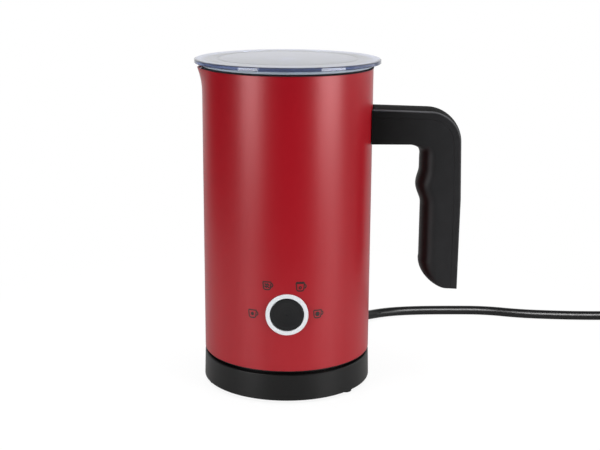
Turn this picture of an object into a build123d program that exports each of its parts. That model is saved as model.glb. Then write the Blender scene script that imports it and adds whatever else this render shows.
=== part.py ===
from build123d import *
import os
from math import cos, pi, radians, sin, tan

# Electric milk frother: a jug with lid, magnet-driven whisk and handle, on a round power base with a cord.
# Millimetres. Z is the jug's axis and the part stands on Z = 0. The button faces -Y, the handle +X and the
# pouring lip -X, and the cord leaves the base at the back.

# Clearances
fit_gap = 0.2  # between round pieces that are fixed to each other
turn_gap = 0.5  # between pieces that move past each other
shaft_gap = 0.05  # round a running shaft
screw_gap = 0.1  # round screws, pins and magnets in their holes
same_place = 0.01  # edges within this distance of a place count as lying there

# Base
foot_height = 2.0  # the rubber feet stand out this far below the base
foot_radius = 4.0
foot_inset = 5.4  # from the base's lower edge to the middle of a foot
foot_count = 3
foot_angle = -39.7
foot_pocket = 0.8
base_height = 16.3
base_flare = 0.45  # the base's lower edge stands out this far past the outer shell
base_wall = 2.2
base_edge = 0.8
rim_width = 2.75
rim_depth = 3.3  # the deck lies this far below the rim
deck_thickness = 2.2
plate_thickness = 2.0
plate_lip = 1.0  # wall left round the bottom plate
base_screw_circle = 36.0
base_screw_count = 3
base_screw_angle = 20.0
base_boss_radius = 3.5
screw_radius = 1.4
screw_head_radius = 2.6
screw_head = 1.2
screw_grip = 7.0  # length of thread past what a screw holds

# Round connector between base and jug
post_radius = 15.0
post_height = 15.0  # above the deck
connector_radius = 18.0
connector_flange_radius = 24.0
connector_flange = 2.5
post_chamfer = 0.8
centre_hole_radius = 3.0
centre_hole_depth = 12.0
centre_pin_radius = 1.5
centre_pin_height = 9.0
centre_tube_wall = 0.6
groove_radii = (6.0, 10.5)  # inner radius of the two ring grooves
groove_width = 2.5
groove_depth = 10.0
contact_thickness = 0.6
contact_height = 7.0
socket_wall = 4.5
socket_roof = 2.5
socket_headroom = 1.5
socket_lift = 1.0
socket_flange = 2.0
socket_flange_width = 3.5
blade_height = 6.0
retainer_width = 10.1
retainer_thickness = 1.5
retainer_circle = 27.0
retainer_angle = 30.0
retainer_boss_radius = 3.0

# Outer shell, bottom cap and inner pot
body_radius = 51.75
seam_gap = 2.2  # dark recess between base and outer shell
shell_height = 175.5
shell_wall = 0.8
lip_reach = 2.75  # the pouring lip stands out this far past the shell
lip_nose_radius = 30.0
lip_height = 17.0
lip_sink = 0.35  # the lip's round starts this deep inside the shell
cap_floor_gap = 2.0
cap_floor = 2.5
cap_foot_width = 4.5
cap_ledge = 0.5
cap_ledge_inset = 0.55
cap_plug_height = 7.5
cap_wall = 2.2
cap_step = 1.5
pot_gap = 4.95  # between the pot's wall and the outer shell
pot_wall = 0.8
pot_corner = 5.0
pot_mouth = 18.5
pot_cone = 9.5

# Heater and drive under the pot
heat_plate_radius = 40.5
heat_plate_thickness = 4.0
heat_plate_hole = 18.5
element_circle = 30.0
element_width = 6.5
element_gap_angle = 70.0
terminal_radius = 1.5
terminal_length = 8.0
sensor_circle = 22.7
sensor_radius = 3.0
sensor_length = 8.0
sensor_flange = 0.8
sensor_flange_thickness = 1.0
cutout_circle = 27.2
cutout_radius = 8.0
cutout_height = 7.5
cutout_tab = (1.0, 5.0, 6.0)
pillar_circle = 37.0
pillar_count = 3
pillar_angle = 90.0
standoff_radius = 3.0
standoff_length = 14.0
post_stud_length = 6.0
spacer_radius = 3.5
bracket_thickness = 2.0
bracket_hub_radius = 16.0
bracket_arm_width = 9.0
bracket_arm_end = 4.5
motor_clear = 6.0  # between the socket's roof and the motor
motor_radius = 12.0
motor_length = 26.0
motor_edge = 1.5
motor_boss_radius = 3.0
motor_boss = 3.5
motor_bore_depth = 22.0
motor_tail_radius = 4.0
motor_tail = 2.0
motor_screw_offset = 8.0
motor_screw_radius = 1.2
motor_screw_head_radius = 2.2
motor_screw_head = 1.6
motor_screw_depth = 3.0
shaft_radius = 1.0
carrier_radius = 17.0
carrier_thickness = 8.0
carrier_gap = 1.2  # under the pot's floor
carrier_collar_radius = 4.0
carrier_collar = 5.0
carrier_roof = 1.8  # over the shaft's end
magnet_radius = 4.0
magnet_height = 3.9
magnet_circle = 11.0
magnet_count = 4

# Whisk in the pot
pin_radius = 2.0
pin_height = 9.8
pin_flange_radius = 4.0
pin_flange = 0.5
whisk_gap = 0.3  # between hub and pin flange
hub_flange_radius = 14.0
hub_flange = 2.0
hub_core_radius = 11.2
hub_cap_radius = 13.0
hub_cap = 1.6
hub_stem_radius = 5.0
hub_stem_height = 8.0
hub_stem_edge = 2.0
whisk_magnet_radius = 3.0
whisk_magnet_height = 2.8
whisk_magnet_circle = 7.0
curl_radius = 2.6
curl_wire_radius = 0.45
curl_count = 22
curl_span = 345.0  # degrees of the ring that the curls fill

# Lid
lid_overhang = 4.55  # past the outer shell
lid_gap = 2.0
lid_thickness = 3.0
lid_top_edge = 2.4
lid_low_edge = 0.4
lid_skirt_gap = 1.45  # between the skirt and the pot's mouth
lid_skirt_wall = 2.2
lid_skirt_height = 12.0
lid_rib_inset = 6.5  # from the skirt's outside to the middle of the rib
lid_rib_width = 2.0
lid_rib_height = 2.5
lid_post_radius = 5.0
lid_post_length = 14.0
lid_post_edge = 1.0
seal_overlap = 0.25  # past the pot's mouth
seal_height = 6.0

# Button, light ring and boards at the front
button_rise = 35.5  # of the button's middle above the outer shell's lower edge
button_radius = 9.85
button_travel = 1.0
button_inset = 0.2
button_edge = 0.5
button_dish_radius = 60.0
button_slack = 0.3
button_flange = 1.5
button_flange_width = 1.55
button_plunger_radius = 2.0
button_plunger = 2.9
ring_proud = 0.45
ring_radius = 12.65
ring_bore_gap = 0.35
ring_depth = 4.0
ring_neck_wall = 1.6
ring_edge = 0.3
housing_radius = 15.3
housing_floor = 1.5
housing_stop_gap = 0.6
housing_rear = 5.3
housing_ear = (8.0, 7.0, 5.0)
housing_ear_offset = 16.5
board_thickness = 1.6
control_board_size = (30.0, 39.0)
switch_width = 6.0
switch_room_radius = 6.0
switch_height = 3.5
switch_stem_radius = 1.6
switch_stem = 0.9
power_board_inner = 25.0
power_board_gap = 1.3  # between the power board and the cap's wall
power_board_angles = (102.0, 198.0)
power_board_height = 10.5  # above the cap's floor
power_screw_circle = 35.0
power_screw_angles = (110.0, 190.0)
power_boss_radius = 3.0
relay_size = (12.0, 16.0, 13.0)
capacitor_radius = 5.0
capacitor_height = 14.0

# Handle
handle_width = 26.0
handle_drop = 23.6  # from the rim down to the arm's upper edge
handle_arm_depth = 21.6
handle_top_drop = 2.4  # fall of the arm's upper edge from the body to the corner
handle_length = 112.1
handle_lean = 1.6  # the outer edge comes in by this much towards the top
lean_drop = 34.8  # from the arm's underside down to where the lean starts
handle_corner = 18.0
finger_room = 29.25  # between the outer shell and the grip above the finger bump
grip_depth = 24.6
grip_slope = 1.3  # the grip's inner edge goes back by this much below the finger bump
bump_rise = 1.9
bump_drop = 26.8  # from the arm's underside down to the finger bump
bump_span = 11.0
grip_foot_radius = 17.0
inner_corner = 3.0
grip_edge = 6.5
cover_edge = 2.2
cover_thickness = 4.0
handle_bracket_thickness = 1.5
handle_bracket_height = 17.0
handle_bracket_angle = 26.0
handle_screw_drops = (16.9, 8.4)  # below the arm's upper edge
handle_screw_radius = 1.6
handle_screw_head_radius = 2.8
handle_screw_head = 1.7
handle_screw_grip = 20.25  # length of thread past the outer shell

# Cord, coil and plug
cord_radius = 3.25
cord_exit_angle = 62.0
cord_exit_height = 8.4
relief_neck_radius = 4.0
relief_root_radius = 5.6
relief_tip_radius = 4.2
relief_length = 28.0
relief_collar = (12.0, 8.0, 2.5)
relief_collar_seat = 0.5
relief_groove = 1.2
relief_groove_depth = 0.7
relief_groove_count = 5
coil_x = 272.0
coil_y = 65.0
coil_inner_radius = 32.0
coil_pitch = 7.0
coil_turns = 2.25
coil_climb = 0.5  # share of a turn in which the coil climbs to its upper layer
cord_first_run = 15.0  # straight on out of the strain relief
cord_last_run = 24.0  # straight into the coil
tail_runs = (16.0, 37.0, 53.0)  # distances past the coil where the tail starts to rise, levels and ends
tie_thickness = 0.6
tie_gap = 0.3
tie_width = 5.0
plug_radius = 18.5
plug_front = 22.0
plug_taper = 16.0
plug_neck_radius = 9.0
plug_relief = 25.0
plug_relief_wall = 1.0
plug_edge = 1.5
plug_pin_radius = 2.4
plug_pin_length = 19.0
plug_pin_spacing = 19.0
plug_pin_root = 6.0  # depth of the thicker root inside the plug
plug_pin_root_radius = 2.9
plug_pin_tip = 0.8
earth_clip = (6.0, 1.0, 16.0)
earth_clip_recess = 2.0

# Levels and radii that follow
base_bottom = foot_height
base_top = base_bottom + base_height
plate_top = base_bottom + plate_thickness
deck_top = base_top - rim_depth
deck_under = deck_top - deck_thickness
base_foot_radius = body_radius + base_flare
base_inner_radius = base_foot_radius - base_wall
foot_circle = base_foot_radius - foot_inset
rim_inner_radius = body_radius - rim_width
shell_bottom = base_top + seam_gap
rim_top = shell_bottom + shell_height
shell_inner_radius = body_radius - shell_wall
button_height = shell_bottom + button_rise
post_top = deck_top + post_height
cap_floor_under = deck_top + cap_floor_gap
cap_floor_top = cap_floor_under + cap_floor
cap_skirt_radius = rim_inner_radius - turn_gap
cap_plug_radius = shell_inner_radius - fit_gap
socket_bore_radius = post_radius + turn_gap
socket_radius = socket_bore_radius + socket_wall
socket_flange_radius = socket_radius + socket_flange_width
socket_flange_top = cap_floor_top + socket_flange
socket_roof_under = post_top + socket_headroom
socket_top = socket_roof_under + socket_roof
motor_under = socket_top + motor_clear + motor_tail
bracket_under = motor_under + motor_length
bracket_top = bracket_under + bracket_thickness
heat_plate_under = bracket_top + standoff_length
pot_under = heat_plate_under + heat_plate_thickness
pot_floor = pot_under + pot_wall
pot_radius = shell_inner_radius - pot_gap
pot_mouth_radius = shell_inner_radius - fit_gap
pot_mouth_inner = pot_mouth_radius - pot_wall
lid_under = rim_top + lid_gap
lid_top = lid_under + lid_thickness
lid_radius = body_radius + lid_overhang
lid_skirt_radius = pot_mouth_inner - lid_skirt_gap
lid_rib_radius = lid_skirt_radius - lid_rib_inset
shaft_bottom = bracket_under - motor_bore_depth + fit_gap
carrier_top = pot_under - carrier_gap
carrier_under = carrier_top - carrier_thickness
shaft_top = carrier_top - carrier_roof
shaft_bore_radius = shaft_radius + shaft_gap
screw_hole_radius = screw_radius + screw_gap
handle_half = handle_width / 2
handle_arm_top = rim_top - handle_drop
handle_arm_bottom = handle_arm_top - handle_arm_depth
handle_bottom = handle_arm_top - handle_length
handle_lean_start = handle_arm_bottom - lean_drop
handle_screw_heights = [handle_arm_top - drop for drop in handle_screw_drops]
handle_screw_end = body_radius + handle_screw_grip
grip_upper = body_radius + finger_room
grip_lower = grip_upper + grip_slope
handle_reach = grip_upper + grip_depth
bump_reach = grip_upper - bump_rise
bump_height = handle_arm_bottom - bump_drop

os.makedirs("parts", exist_ok=True)


def rings(builder, radius, height):
    """Circular edges of a turned piece that have one radius and one height."""
    circles = builder.edges().filter_by(GeomType.CIRCLE)
    wide = [edge for edge in circles if abs(edge.radius - radius) < same_place]
    return [edge for edge in wide if abs(edge.arc_center.Z - height) < same_place]


def turned(*points):
    """Turns a closed outline of (radius, height) points round the jug's axis."""
    with BuildSketch(Plane.XZ) as outline:
        with BuildLine():
            Polyline(*points, close=True)
        make_face()
    revolve(outline.sketch.faces(), axis=Axis.Z)


def tube(inner_radius, outer_radius, bottom, top, mode=Mode.ADD):
    """Adds or cuts an upright tube on the jug's axis."""
    with BuildSketch(Plane.XY.offset(bottom)) as section:
        Circle(outer_radius)
        Circle(inner_radius, mode=Mode.SUBTRACT)
    extrude(section.sketch, amount=top - bottom, mode=mode)


def disc(radius, bottom, top, mode=Mode.ADD):
    """Adds or cuts an upright disc on the jug's axis."""
    with BuildSketch(Plane.XY.offset(bottom)) as section:
        Circle(radius)
    extrude(section.sketch, amount=top - bottom, mode=mode)


def studs(circle, count, angle, radius, bottom, top, mode=Mode.ADD):
    """Adds or cuts upright round studs, evenly spaced on a circle."""
    with BuildSketch(Plane.XY.offset(bottom)) as sections:
        with PolarLocations(circle, count, angle):
            Circle(radius)
    extrude(sections.sketch, amount=top - bottom, mode=mode)


def studs_at(circle, angles, radius, bottom, top, mode=Mode.ADD):
    """Adds or cuts upright round studs at chosen angles of a circle."""
    with BuildSketch(Plane.XY.offset(bottom)) as sections:
        for angle in angles:
            with PolarLocations(circle, 1, angle):
                Circle(radius)
    extrude(sections.sketch, amount=top - bottom, mode=mode)


# Base shell: outer wall, deck that carries the jug, screw bosses and the opening for the cord
relief_heading = Vector(cos(radians(cord_exit_angle)), sin(radians(cord_exit_angle)), 0)
relief_plane = Plane(
    origin=relief_heading * base_foot_radius + Vector(0, 0, cord_exit_height),
    x_dir=(-relief_heading.Y, relief_heading.X, 0),
    z_dir=relief_heading,
)
deck_hole_radius = post_radius + fit_gap

with BuildPart() as base_shell:
    turned(
        (deck_hole_radius, deck_under),
        (base_inner_radius, deck_under),
        (base_inner_radius, plate_top),
        (base_foot_radius - plate_lip, plate_top),
        (base_foot_radius - plate_lip, base_bottom),
        (base_foot_radius, base_bottom),
        (body_radius, base_top),
        (rim_inner_radius, base_top),
        (rim_inner_radius, deck_top),
        (deck_hole_radius, deck_top),
    )
    fillet(rings(base_shell, body_radius, base_top), base_edge)
    fillet(rings(base_shell, rim_inner_radius, base_top), base_edge)
    studs(base_screw_circle, base_screw_count, base_screw_angle, base_boss_radius, plate_top, deck_under)
    studs(
        base_screw_circle,
        base_screw_count,
        base_screw_angle,
        screw_hole_radius,
        plate_top,
        plate_top + screw_grip,
        Mode.SUBTRACT,
    )
    with BuildSketch(relief_plane):
        Circle(relief_neck_radius + fit_gap)
    extrude(amount=2 * base_wall, both=True, mode=Mode.SUBTRACT)
base_shell.part.label = "base_shell"
export_step(base_shell.part, "parts/base_shell.step")

# Bottom plate of the base, with pockets for the feet and sunk screw holes
with BuildPart() as base_plate:
    disc(base_foot_radius - plate_lip - fit_gap, base_bottom, plate_top)
    studs(foot_circle, foot_count, foot_angle, foot_radius + screw_gap, base_bottom,
          base_bottom + foot_pocket, Mode.SUBTRACT)
    studs(base_screw_circle, base_screw_count, base_screw_angle, screw_head_radius + screw_gap,
          base_bottom, base_bottom + screw_head, Mode.SUBTRACT)
    studs(base_screw_circle, base_screw_count, base_screw_angle, screw_hole_radius,
          base_bottom, plate_top, Mode.SUBTRACT)
base_plate.part.label = "base_plate"
export_step(base_plate.part, "parts/base_plate.step")

with BuildPart() as rubber_feet:
    studs(foot_circle, foot_count, foot_angle, foot_radius, 0, base_bottom + foot_pocket)
rubber_feet.part.label = "rubber_feet"
export_step(rubber_feet.part, "parts/rubber_feet.step")

with BuildPart() as base_screws:
    studs(base_screw_circle, base_screw_count, base_screw_angle, screw_head_radius,
          base_bottom, base_bottom + screw_head)
    studs(base_screw_circle, base_screw_count, base_screw_angle, screw_radius,
          base_bottom + screw_head, plate_top + screw_grip - screw_gap)
base_screws.part.label = "base_screws"
export_step(base_screws.part, "parts/base_screws.step")

# Male round connector: held between plate and deck, its post with ring grooves stands through the deck
with BuildPart() as base_connector:
    disc(connector_radius, plate_top, deck_under)
    disc(connector_flange_radius, deck_under - connector_flange, deck_under)
    disc(post_radius, deck_under, post_top)
    chamfer(rings(base_connector, post_radius, post_top), post_chamfer)
    disc(centre_hole_radius, post_top - centre_hole_depth, post_top, Mode.SUBTRACT)
    for groove_radius in groove_radii:
        tube(groove_radius, groove_radius + groove_width, post_top - groove_depth, post_top, Mode.SUBTRACT)
base_connector.part.label = "base_connector"
export_step(base_connector.part, "parts/base_connector.step")

with BuildPart() as connector_contacts:
    centre_floor = post_top - centre_hole_depth
    disc(centre_pin_radius, centre_floor, centre_floor + centre_pin_height)
    for groove_radius in groove_radii:
        contact_inner = groove_radius + screw_gap
        groove_floor = post_top - groove_depth
        tube(contact_inner, contact_inner + contact_thickness, groove_floor, groove_floor + contact_height)
connector_contacts.part.label = "connector_contacts"
export_step(connector_contacts.part, "parts/connector_contacts.step")

# Female socket in the jug's underside, with contact blades that hang into the grooves
with BuildPart() as socket_housing:
    socket_under = deck_top + socket_lift
    tube(socket_bore_radius, socket_radius, socket_under, socket_top)
    disc(socket_radius, socket_roof_under, socket_top)
    tube(socket_bore_radius, socket_flange_radius, cap_floor_top, socket_flange_top)
socket_housing.part.label = "socket_housing"
export_step(socket_housing.part, "parts/socket_housing.step")

with BuildPart() as socket_contacts:
    blade_bottom = socket_roof_under - blade_height
    centre_tube_inner = centre_pin_radius + turn_gap
    tube(centre_tube_inner, centre_tube_inner + centre_tube_wall, blade_bottom, socket_roof_under)
    for groove_radius in groove_radii:
        blade_outer = groove_radius + groove_width - turn_gap
        tube(blade_outer - contact_thickness, blade_outer, blade_bottom, socket_roof_under)
socket_contacts.part.label = "socket_contacts"
export_step(socket_contacts.part, "parts/socket_contacts.step")

# Bottom cap of the jug: foot ring, floor, ledge under the shell, plug wall and screw bosses
power_board_under = cap_floor_top + power_board_height

with BuildPart() as bottom_cap:
    cap_hole_radius = socket_radius + turn_gap
    cap_ring_inner = cap_skirt_radius - cap_foot_width
    cap_wall_inner = cap_skirt_radius - cap_wall
    cap_step_top = shell_bottom + cap_step
    turned(
        (cap_hole_radius, cap_floor_under),
        (cap_ring_inner, cap_floor_under),
        (cap_ring_inner, deck_top),
        (cap_skirt_radius, deck_top),
        (cap_skirt_radius, shell_bottom - cap_ledge),
        (body_radius - cap_ledge_inset, shell_bottom - cap_ledge),
        (body_radius - cap_ledge_inset, shell_bottom),
        (cap_plug_radius, shell_bottom),
        (cap_plug_radius, shell_bottom + cap_plug_height),
        (cap_plug_radius - cap_wall, shell_bottom + cap_plug_height),
        (cap_plug_radius - cap_wall, cap_step_top),
        (cap_wall_inner, cap_step_top),
        (cap_wall_inner, cap_floor_top),
        (cap_hole_radius, cap_floor_top),
    )
    studs(retainer_circle, pillar_count, retainer_angle, retainer_boss_radius,
          cap_floor_top, socket_flange_top)
    studs(retainer_circle, pillar_count, retainer_angle, screw_hole_radius,
          cap_floor_under, socket_flange_top, Mode.SUBTRACT)
    studs_at(power_screw_circle, power_screw_angles, power_boss_radius, cap_floor_top, power_board_under)
    studs_at(power_screw_circle, power_screw_angles, screw_hole_radius,
             power_board_under - screw_grip, power_board_under, Mode.SUBTRACT)
    studs(pillar_circle, pillar_count, pillar_angle, screw_hole_radius,
          cap_floor_under, cap_floor_top, Mode.SUBTRACT)
    studs(pillar_circle, pillar_count, pillar_angle, screw_head_radius + screw_gap,
          cap_floor_under, cap_floor_under + screw_head, Mode.SUBTRACT)
bottom_cap.part.label = "bottom_cap"
export_step(bottom_cap.part, "parts/bottom_cap.step")

with BuildPart() as cap_screws:
    studs(pillar_circle, pillar_count, pillar_angle, screw_head_radius,
          cap_floor_under, cap_floor_under + screw_head)
    studs(pillar_circle, pillar_count, pillar_angle, screw_radius,
          cap_floor_under + screw_head, cap_floor_top + screw_grip)
cap_screws.part.label = "cap_screws"
export_step(cap_screws.part, "parts/cap_screws.step")

with BuildPart() as socket_retainer:
    retainer_top = socket_flange_top + retainer_thickness
    retainer_inner = socket_radius + turn_gap
    tube(retainer_inner, retainer_inner + retainer_width, socket_flange_top, retainer_top)
    studs(retainer_circle, pillar_count, retainer_angle, screw_hole_radius,
          socket_flange_top, retainer_top, Mode.SUBTRACT)
socket_retainer.part.label = "socket_retainer"
export_step(socket_retainer.part, "parts/socket_retainer.step")

with BuildPart() as retainer_screws:
    studs(retainer_circle, pillar_count, retainer_angle, screw_head_radius,
          retainer_top, retainer_top + screw_head)
    studs(retainer_circle, pillar_count, retainer_angle, screw_radius, cap_floor_under, retainer_top)
retainer_screws.part.label = "retainer_screws"
export_step(retainer_screws.part, "parts/retainer_screws.step")

# Pillars that tie the cap, the motor bracket and the heat plate together
with BuildPart() as spacer_posts:
    studs(pillar_circle, pillar_count, pillar_angle, spacer_radius, cap_floor_top, bracket_under)
    studs(pillar_circle, pillar_count, pillar_angle, screw_radius,
          bracket_under, bracket_top + post_stud_length)
    studs(pillar_circle, pillar_count, pillar_angle, screw_hole_radius,
          cap_floor_top, cap_floor_top + screw_grip + fit_gap, Mode.SUBTRACT)
spacer_posts.part.label = "spacer_posts"
export_step(spacer_posts.part, "parts/spacer_posts.step")

with BuildPart() as standoffs:
    studs(pillar_circle, pillar_count, pillar_angle, standoff_radius, bracket_top, heat_plate_under)
    studs(pillar_circle, pillar_count, pillar_angle, screw_hole_radius,
          bracket_top, bracket_top + post_stud_length + fit_gap, Mode.SUBTRACT)
standoffs.part.label = "standoffs"
export_step(standoffs.part, "parts/standoffs.step")

# Motor on its three-armed bracket
with BuildPart() as motor_bracket:
    with BuildSketch(Plane.XY.offset(bracket_under)):
        Circle(bracket_hub_radius)
        with PolarLocations(0, pillar_count, pillar_angle):
            Rectangle(
                pillar_circle + bracket_arm_end,
                bracket_arm_width,
                align=(Align.MIN, Align.CENTER),
            )
        Circle(motor_boss_radius + fit_gap, mode=Mode.SUBTRACT)
        with PolarLocations(pillar_circle, pillar_count, pillar_angle):
            Circle(screw_hole_radius, mode=Mode.SUBTRACT)
        with Locations((motor_screw_offset, 0), (-motor_screw_offset, 0)):
            Circle(motor_screw_radius + screw_gap, mode=Mode.SUBTRACT)
    extrude(amount=bracket_thickness)
motor_bracket.part.label = "motor_bracket"
export_step(motor_bracket.part, "parts/motor_bracket.step")

with BuildPart() as motor_can:
    disc(motor_radius, motor_under, bracket_under)
    fillet(rings(motor_can, motor_radius, motor_under), motor_edge)
    disc(motor_tail_radius, motor_under - motor_tail, motor_under)
    disc(motor_boss_radius, bracket_under, bracket_under + motor_boss)
    disc(shaft_bore_radius, bracket_under - motor_bore_depth, bracket_under + motor_boss, Mode.SUBTRACT)
    studs(motor_screw_offset, 2, 0, motor_screw_radius + screw_gap,
          bracket_under - motor_screw_depth - fit_gap, bracket_under, Mode.SUBTRACT)
motor_can.part.label = "motor_can"
export_step(motor_can.part, "parts/motor_can.step")

with BuildPart() as motor_screws:
    studs(motor_screw_offset, 2, 0, motor_screw_head_radius, bracket_top, bracket_top + motor_screw_head)
    studs(motor_screw_offset, 2, 0, motor_screw_radius, bracket_under - motor_screw_depth, bracket_top)
motor_screws.part.label = "motor_screws"
export_step(motor_screws.part, "parts/motor_screws.step")

# Rotor: motor shaft and the carrier that turns magnets under the pot's floor
with BuildPart() as motor_shaft:
    disc(shaft_radius, shaft_bottom, shaft_top)
motor_shaft.part.label = "motor_shaft"
export_step(motor_shaft.part, "parts/motor_shaft.step")

with BuildPart() as magnet_carrier:
    disc(carrier_radius, carrier_under, carrier_top)
    disc(carrier_collar_radius, carrier_under - carrier_collar, carrier_under)
    disc(shaft_bore_radius, carrier_under - carrier_collar, shaft_top, Mode.SUBTRACT)
    studs(magnet_circle, magnet_count, 0, magnet_radius + screw_gap,
          carrier_top - magnet_height, carrier_top, Mode.SUBTRACT)
magnet_carrier.part.label = "magnet_carrier"
export_step(magnet_carrier.part, "parts/magnet_carrier.step")

with BuildPart() as drive_magnets:
    studs(magnet_circle, magnet_count, 0, magnet_radius, carrier_top - magnet_height, carrier_top)
drive_magnets.part.label = "drive_magnets"
export_step(drive_magnets.part, "parts/drive_magnets.step")

# Heater: aluminium ring plate, flat-topped element below it, temperature sensor and thermal cutout
with BuildPart() as heat_plate:
    tube(heat_plate_hole, heat_plate_radius, heat_plate_under, pot_under)
    studs(sensor_circle, 1, pillar_angle, sensor_radius + fit_gap,
          heat_plate_under, pot_under, Mode.SUBTRACT)
heat_plate.part.label = "heat_plate"
export_step(heat_plate.part, "parts/heat_plate.step")

element_start = -90 + element_gap_angle / 2
element_sweep = 360 - element_gap_angle
element_end = element_start + element_sweep
element_plane = Plane(
    origin=(0, 0, heat_plate_under),
    x_dir=(cos(radians(element_start)), sin(radians(element_start)), 0),
    z_dir=(sin(radians(element_start)), -cos(radians(element_start)), 0),
)
with BuildPart() as heating_element:
    element_half = element_width / 2
    with BuildSketch(element_plane):
        with BuildLine():
            Line((element_circle - element_half, -element_half), (element_circle - element_half, 0))
            Line((element_circle - element_half, 0), (element_circle + element_half, 0))
            Line((element_circle + element_half, 0), (element_circle + element_half, -element_half))
            ThreePointArc(
                (element_circle + element_half, -element_half),
                (element_circle, -element_width),
                (element_circle - element_half, -element_half),
            )
        make_face()
    revolve(axis=Axis.Z, revolution_arc=element_sweep)
    terminal_top = heat_plate_under - element_half
    terminal_turn = 2 * terminal_radius * 180 / (pi * element_circle)
    studs_at(element_circle, (element_start + terminal_turn, element_end - terminal_turn), terminal_radius,
             heat_plate_under - element_width - terminal_length, terminal_top)
heating_element.part.label = "heating_element"
export_step(heating_element.part, "parts/heating_element.step")

with BuildPart() as temperature_sensor:
    studs(sensor_circle, 1, pillar_angle, sensor_radius, pot_under - sensor_length, pot_under)
    studs(sensor_circle, 1, pillar_angle, sensor_radius + sensor_flange,
          heat_plate_under - sensor_flange_thickness, heat_plate_under)
temperature_sensor.part.label = "temperature_sensor"
export_step(temperature_sensor.part, "parts/temperature_sensor.step")

with BuildPart() as thermal_cutout:
    cutout_under = heat_plate_under - cutout_height
    studs(cutout_circle, 1, -90, cutout_radius, cutout_under, heat_plate_under)
    with Locations((cutout_radius / 2, -cutout_circle, cutout_under),
                   (-cutout_radius / 2, -cutout_circle, cutout_under)):
        Box(*cutout_tab, align=(Align.CENTER, Align.CENTER, Align.MAX))
thermal_cutout.part.label = "thermal_cutout"
export_step(thermal_cutout.part, "parts/thermal_cutout.step")

# Outer shell and inner pot, both with the pressed pouring lip
lip_axis = body_radius + lip_reach - lip_nose_radius
lip_plane = Plane(origin=(-lip_axis, 0, 0), x_dir=(1, 0, 0), z_dir=(0, -1, 0))
lip_line = Axis((-lip_axis, 0, 0), (0, 0, 1))
lip_start = rim_top - lip_height


def pour_lip(inset, mode):
    """Adds or cuts the flared round of the pouring lip, drawn in by an inset."""
    root = (lip_nose_radius - lip_reach - lip_sink - inset, lip_start)
    nose = (lip_nose_radius - inset, rim_top)
    with BuildSketch(lip_plane) as outline:
        with BuildLine():
            Polyline(nose, (0, rim_top), (0, lip_start), root)
            TangentArc(root, nose, tangent=(0, 1))
        make_face()
    revolve(outline.sketch.faces(), axis=lip_line, mode=mode)


button_plane = Plane(
    origin=(0, -body_radius - ring_proud, button_height), x_dir=(1, 0, 0), z_dir=(0, 1, 0)
)
ring_bore_radius = button_radius + ring_bore_gap
ring_neck_radius = ring_bore_radius + ring_neck_wall

with BuildPart() as outer_shell:
    disc(body_radius, shell_bottom, rim_top)
    pour_lip(0, Mode.ADD)
    disc(shell_inner_radius, shell_bottom, rim_top, Mode.SUBTRACT)
    pour_lip(shell_wall, Mode.SUBTRACT)
    with BuildSketch(button_plane):
        Circle(ring_neck_radius + fit_gap)
    extrude(amount=body_radius, mode=Mode.SUBTRACT)
    with BuildSketch(Plane.YZ):
        for height in handle_screw_heights:
            with Locations((0, height)):
                Circle(handle_screw_radius + screw_gap)
    extrude(amount=2 * body_radius, mode=Mode.SUBTRACT)
outer_shell.part.label = "outer_shell"
export_step(outer_shell.part, "parts/outer_shell.step")


def pot_round(radius, mouth, bottom, corner, mode):
    """Adds or cuts the pot's turned form: straight wall, cone and wide mouth."""
    with BuildSketch(Plane.XZ) as outline:
        with BuildLine():
            Polyline(
                (0, bottom),
                (radius, bottom),
                (radius, rim_top - pot_mouth - pot_cone),
                (mouth, rim_top - pot_mouth),
                (mouth, rim_top),
                (0, rim_top),
                close=True,
            )
        make_face()
        fillet(outline.vertices().sort_by_distance((radius, bottom))[0], corner)
    revolve(outline.sketch.faces(), axis=Axis.Z, mode=mode)


with BuildPart() as inner_pot:
    pot_round(pot_radius, pot_mouth_radius, pot_under, pot_corner, Mode.ADD)
    pour_lip(shell_wall + fit_gap, Mode.ADD)
    pot_round(pot_radius - pot_wall, pot_mouth_inner, pot_floor, pot_corner - pot_wall, Mode.SUBTRACT)
    pour_lip(shell_wall + fit_gap + pot_wall, Mode.SUBTRACT)
inner_pot.part.label = "inner_pot"
export_step(inner_pot.part, "parts/inner_pot.step")

# Whisk: a hub that runs on a pin on the pot's floor, with magnets and a ring of curled wire
with BuildPart() as whisk_pin:
    disc(pin_flange_radius, pot_floor, pot_floor + pin_flange)
    disc(pin_radius, pot_floor, pot_floor + pin_height)
whisk_pin.part.label = "whisk_pin"
export_step(whisk_pin.part, "parts/whisk_pin.step")

hub_under = pot_floor + pin_flange + whisk_gap
curl_height = hub_under + hub_flange + turn_gap + curl_radius + curl_wire_radius
curl_circle = hub_core_radius + fit_gap + curl_radius + curl_wire_radius
hub_cap_under = curl_height + curl_radius + curl_wire_radius + turn_gap

with BuildPart() as whisk_hub:
    hub_top = hub_cap_under + hub_cap
    disc(hub_flange_radius, hub_under, hub_under + hub_flange)
    disc(hub_core_radius, hub_under + hub_flange, hub_cap_under)
    disc(hub_cap_radius, hub_cap_under, hub_top)
    disc(hub_stem_radius, hub_top, hub_top + hub_stem_height)
    fillet(rings(whisk_hub, hub_stem_radius, hub_top + hub_stem_height), hub_stem_edge)
    disc(pin_radius + shaft_gap, hub_under, pot_floor + pin_height + whisk_gap, Mode.SUBTRACT)
    studs(whisk_magnet_circle, 2, 0, whisk_magnet_radius + screw_gap,
          hub_under, hub_under + whisk_magnet_height, Mode.SUBTRACT)
whisk_hub.part.label = "whisk_hub"
export_step(whisk_hub.part, "parts/whisk_hub.step")

with BuildPart() as whisk_magnets:
    studs(whisk_magnet_circle, 2, 0, whisk_magnet_radius, hub_under, hub_under + whisk_magnet_height)
whisk_magnets.part.label = "whisk_magnets"
export_step(whisk_magnets.part, "parts/whisk_magnets.step")


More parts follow.
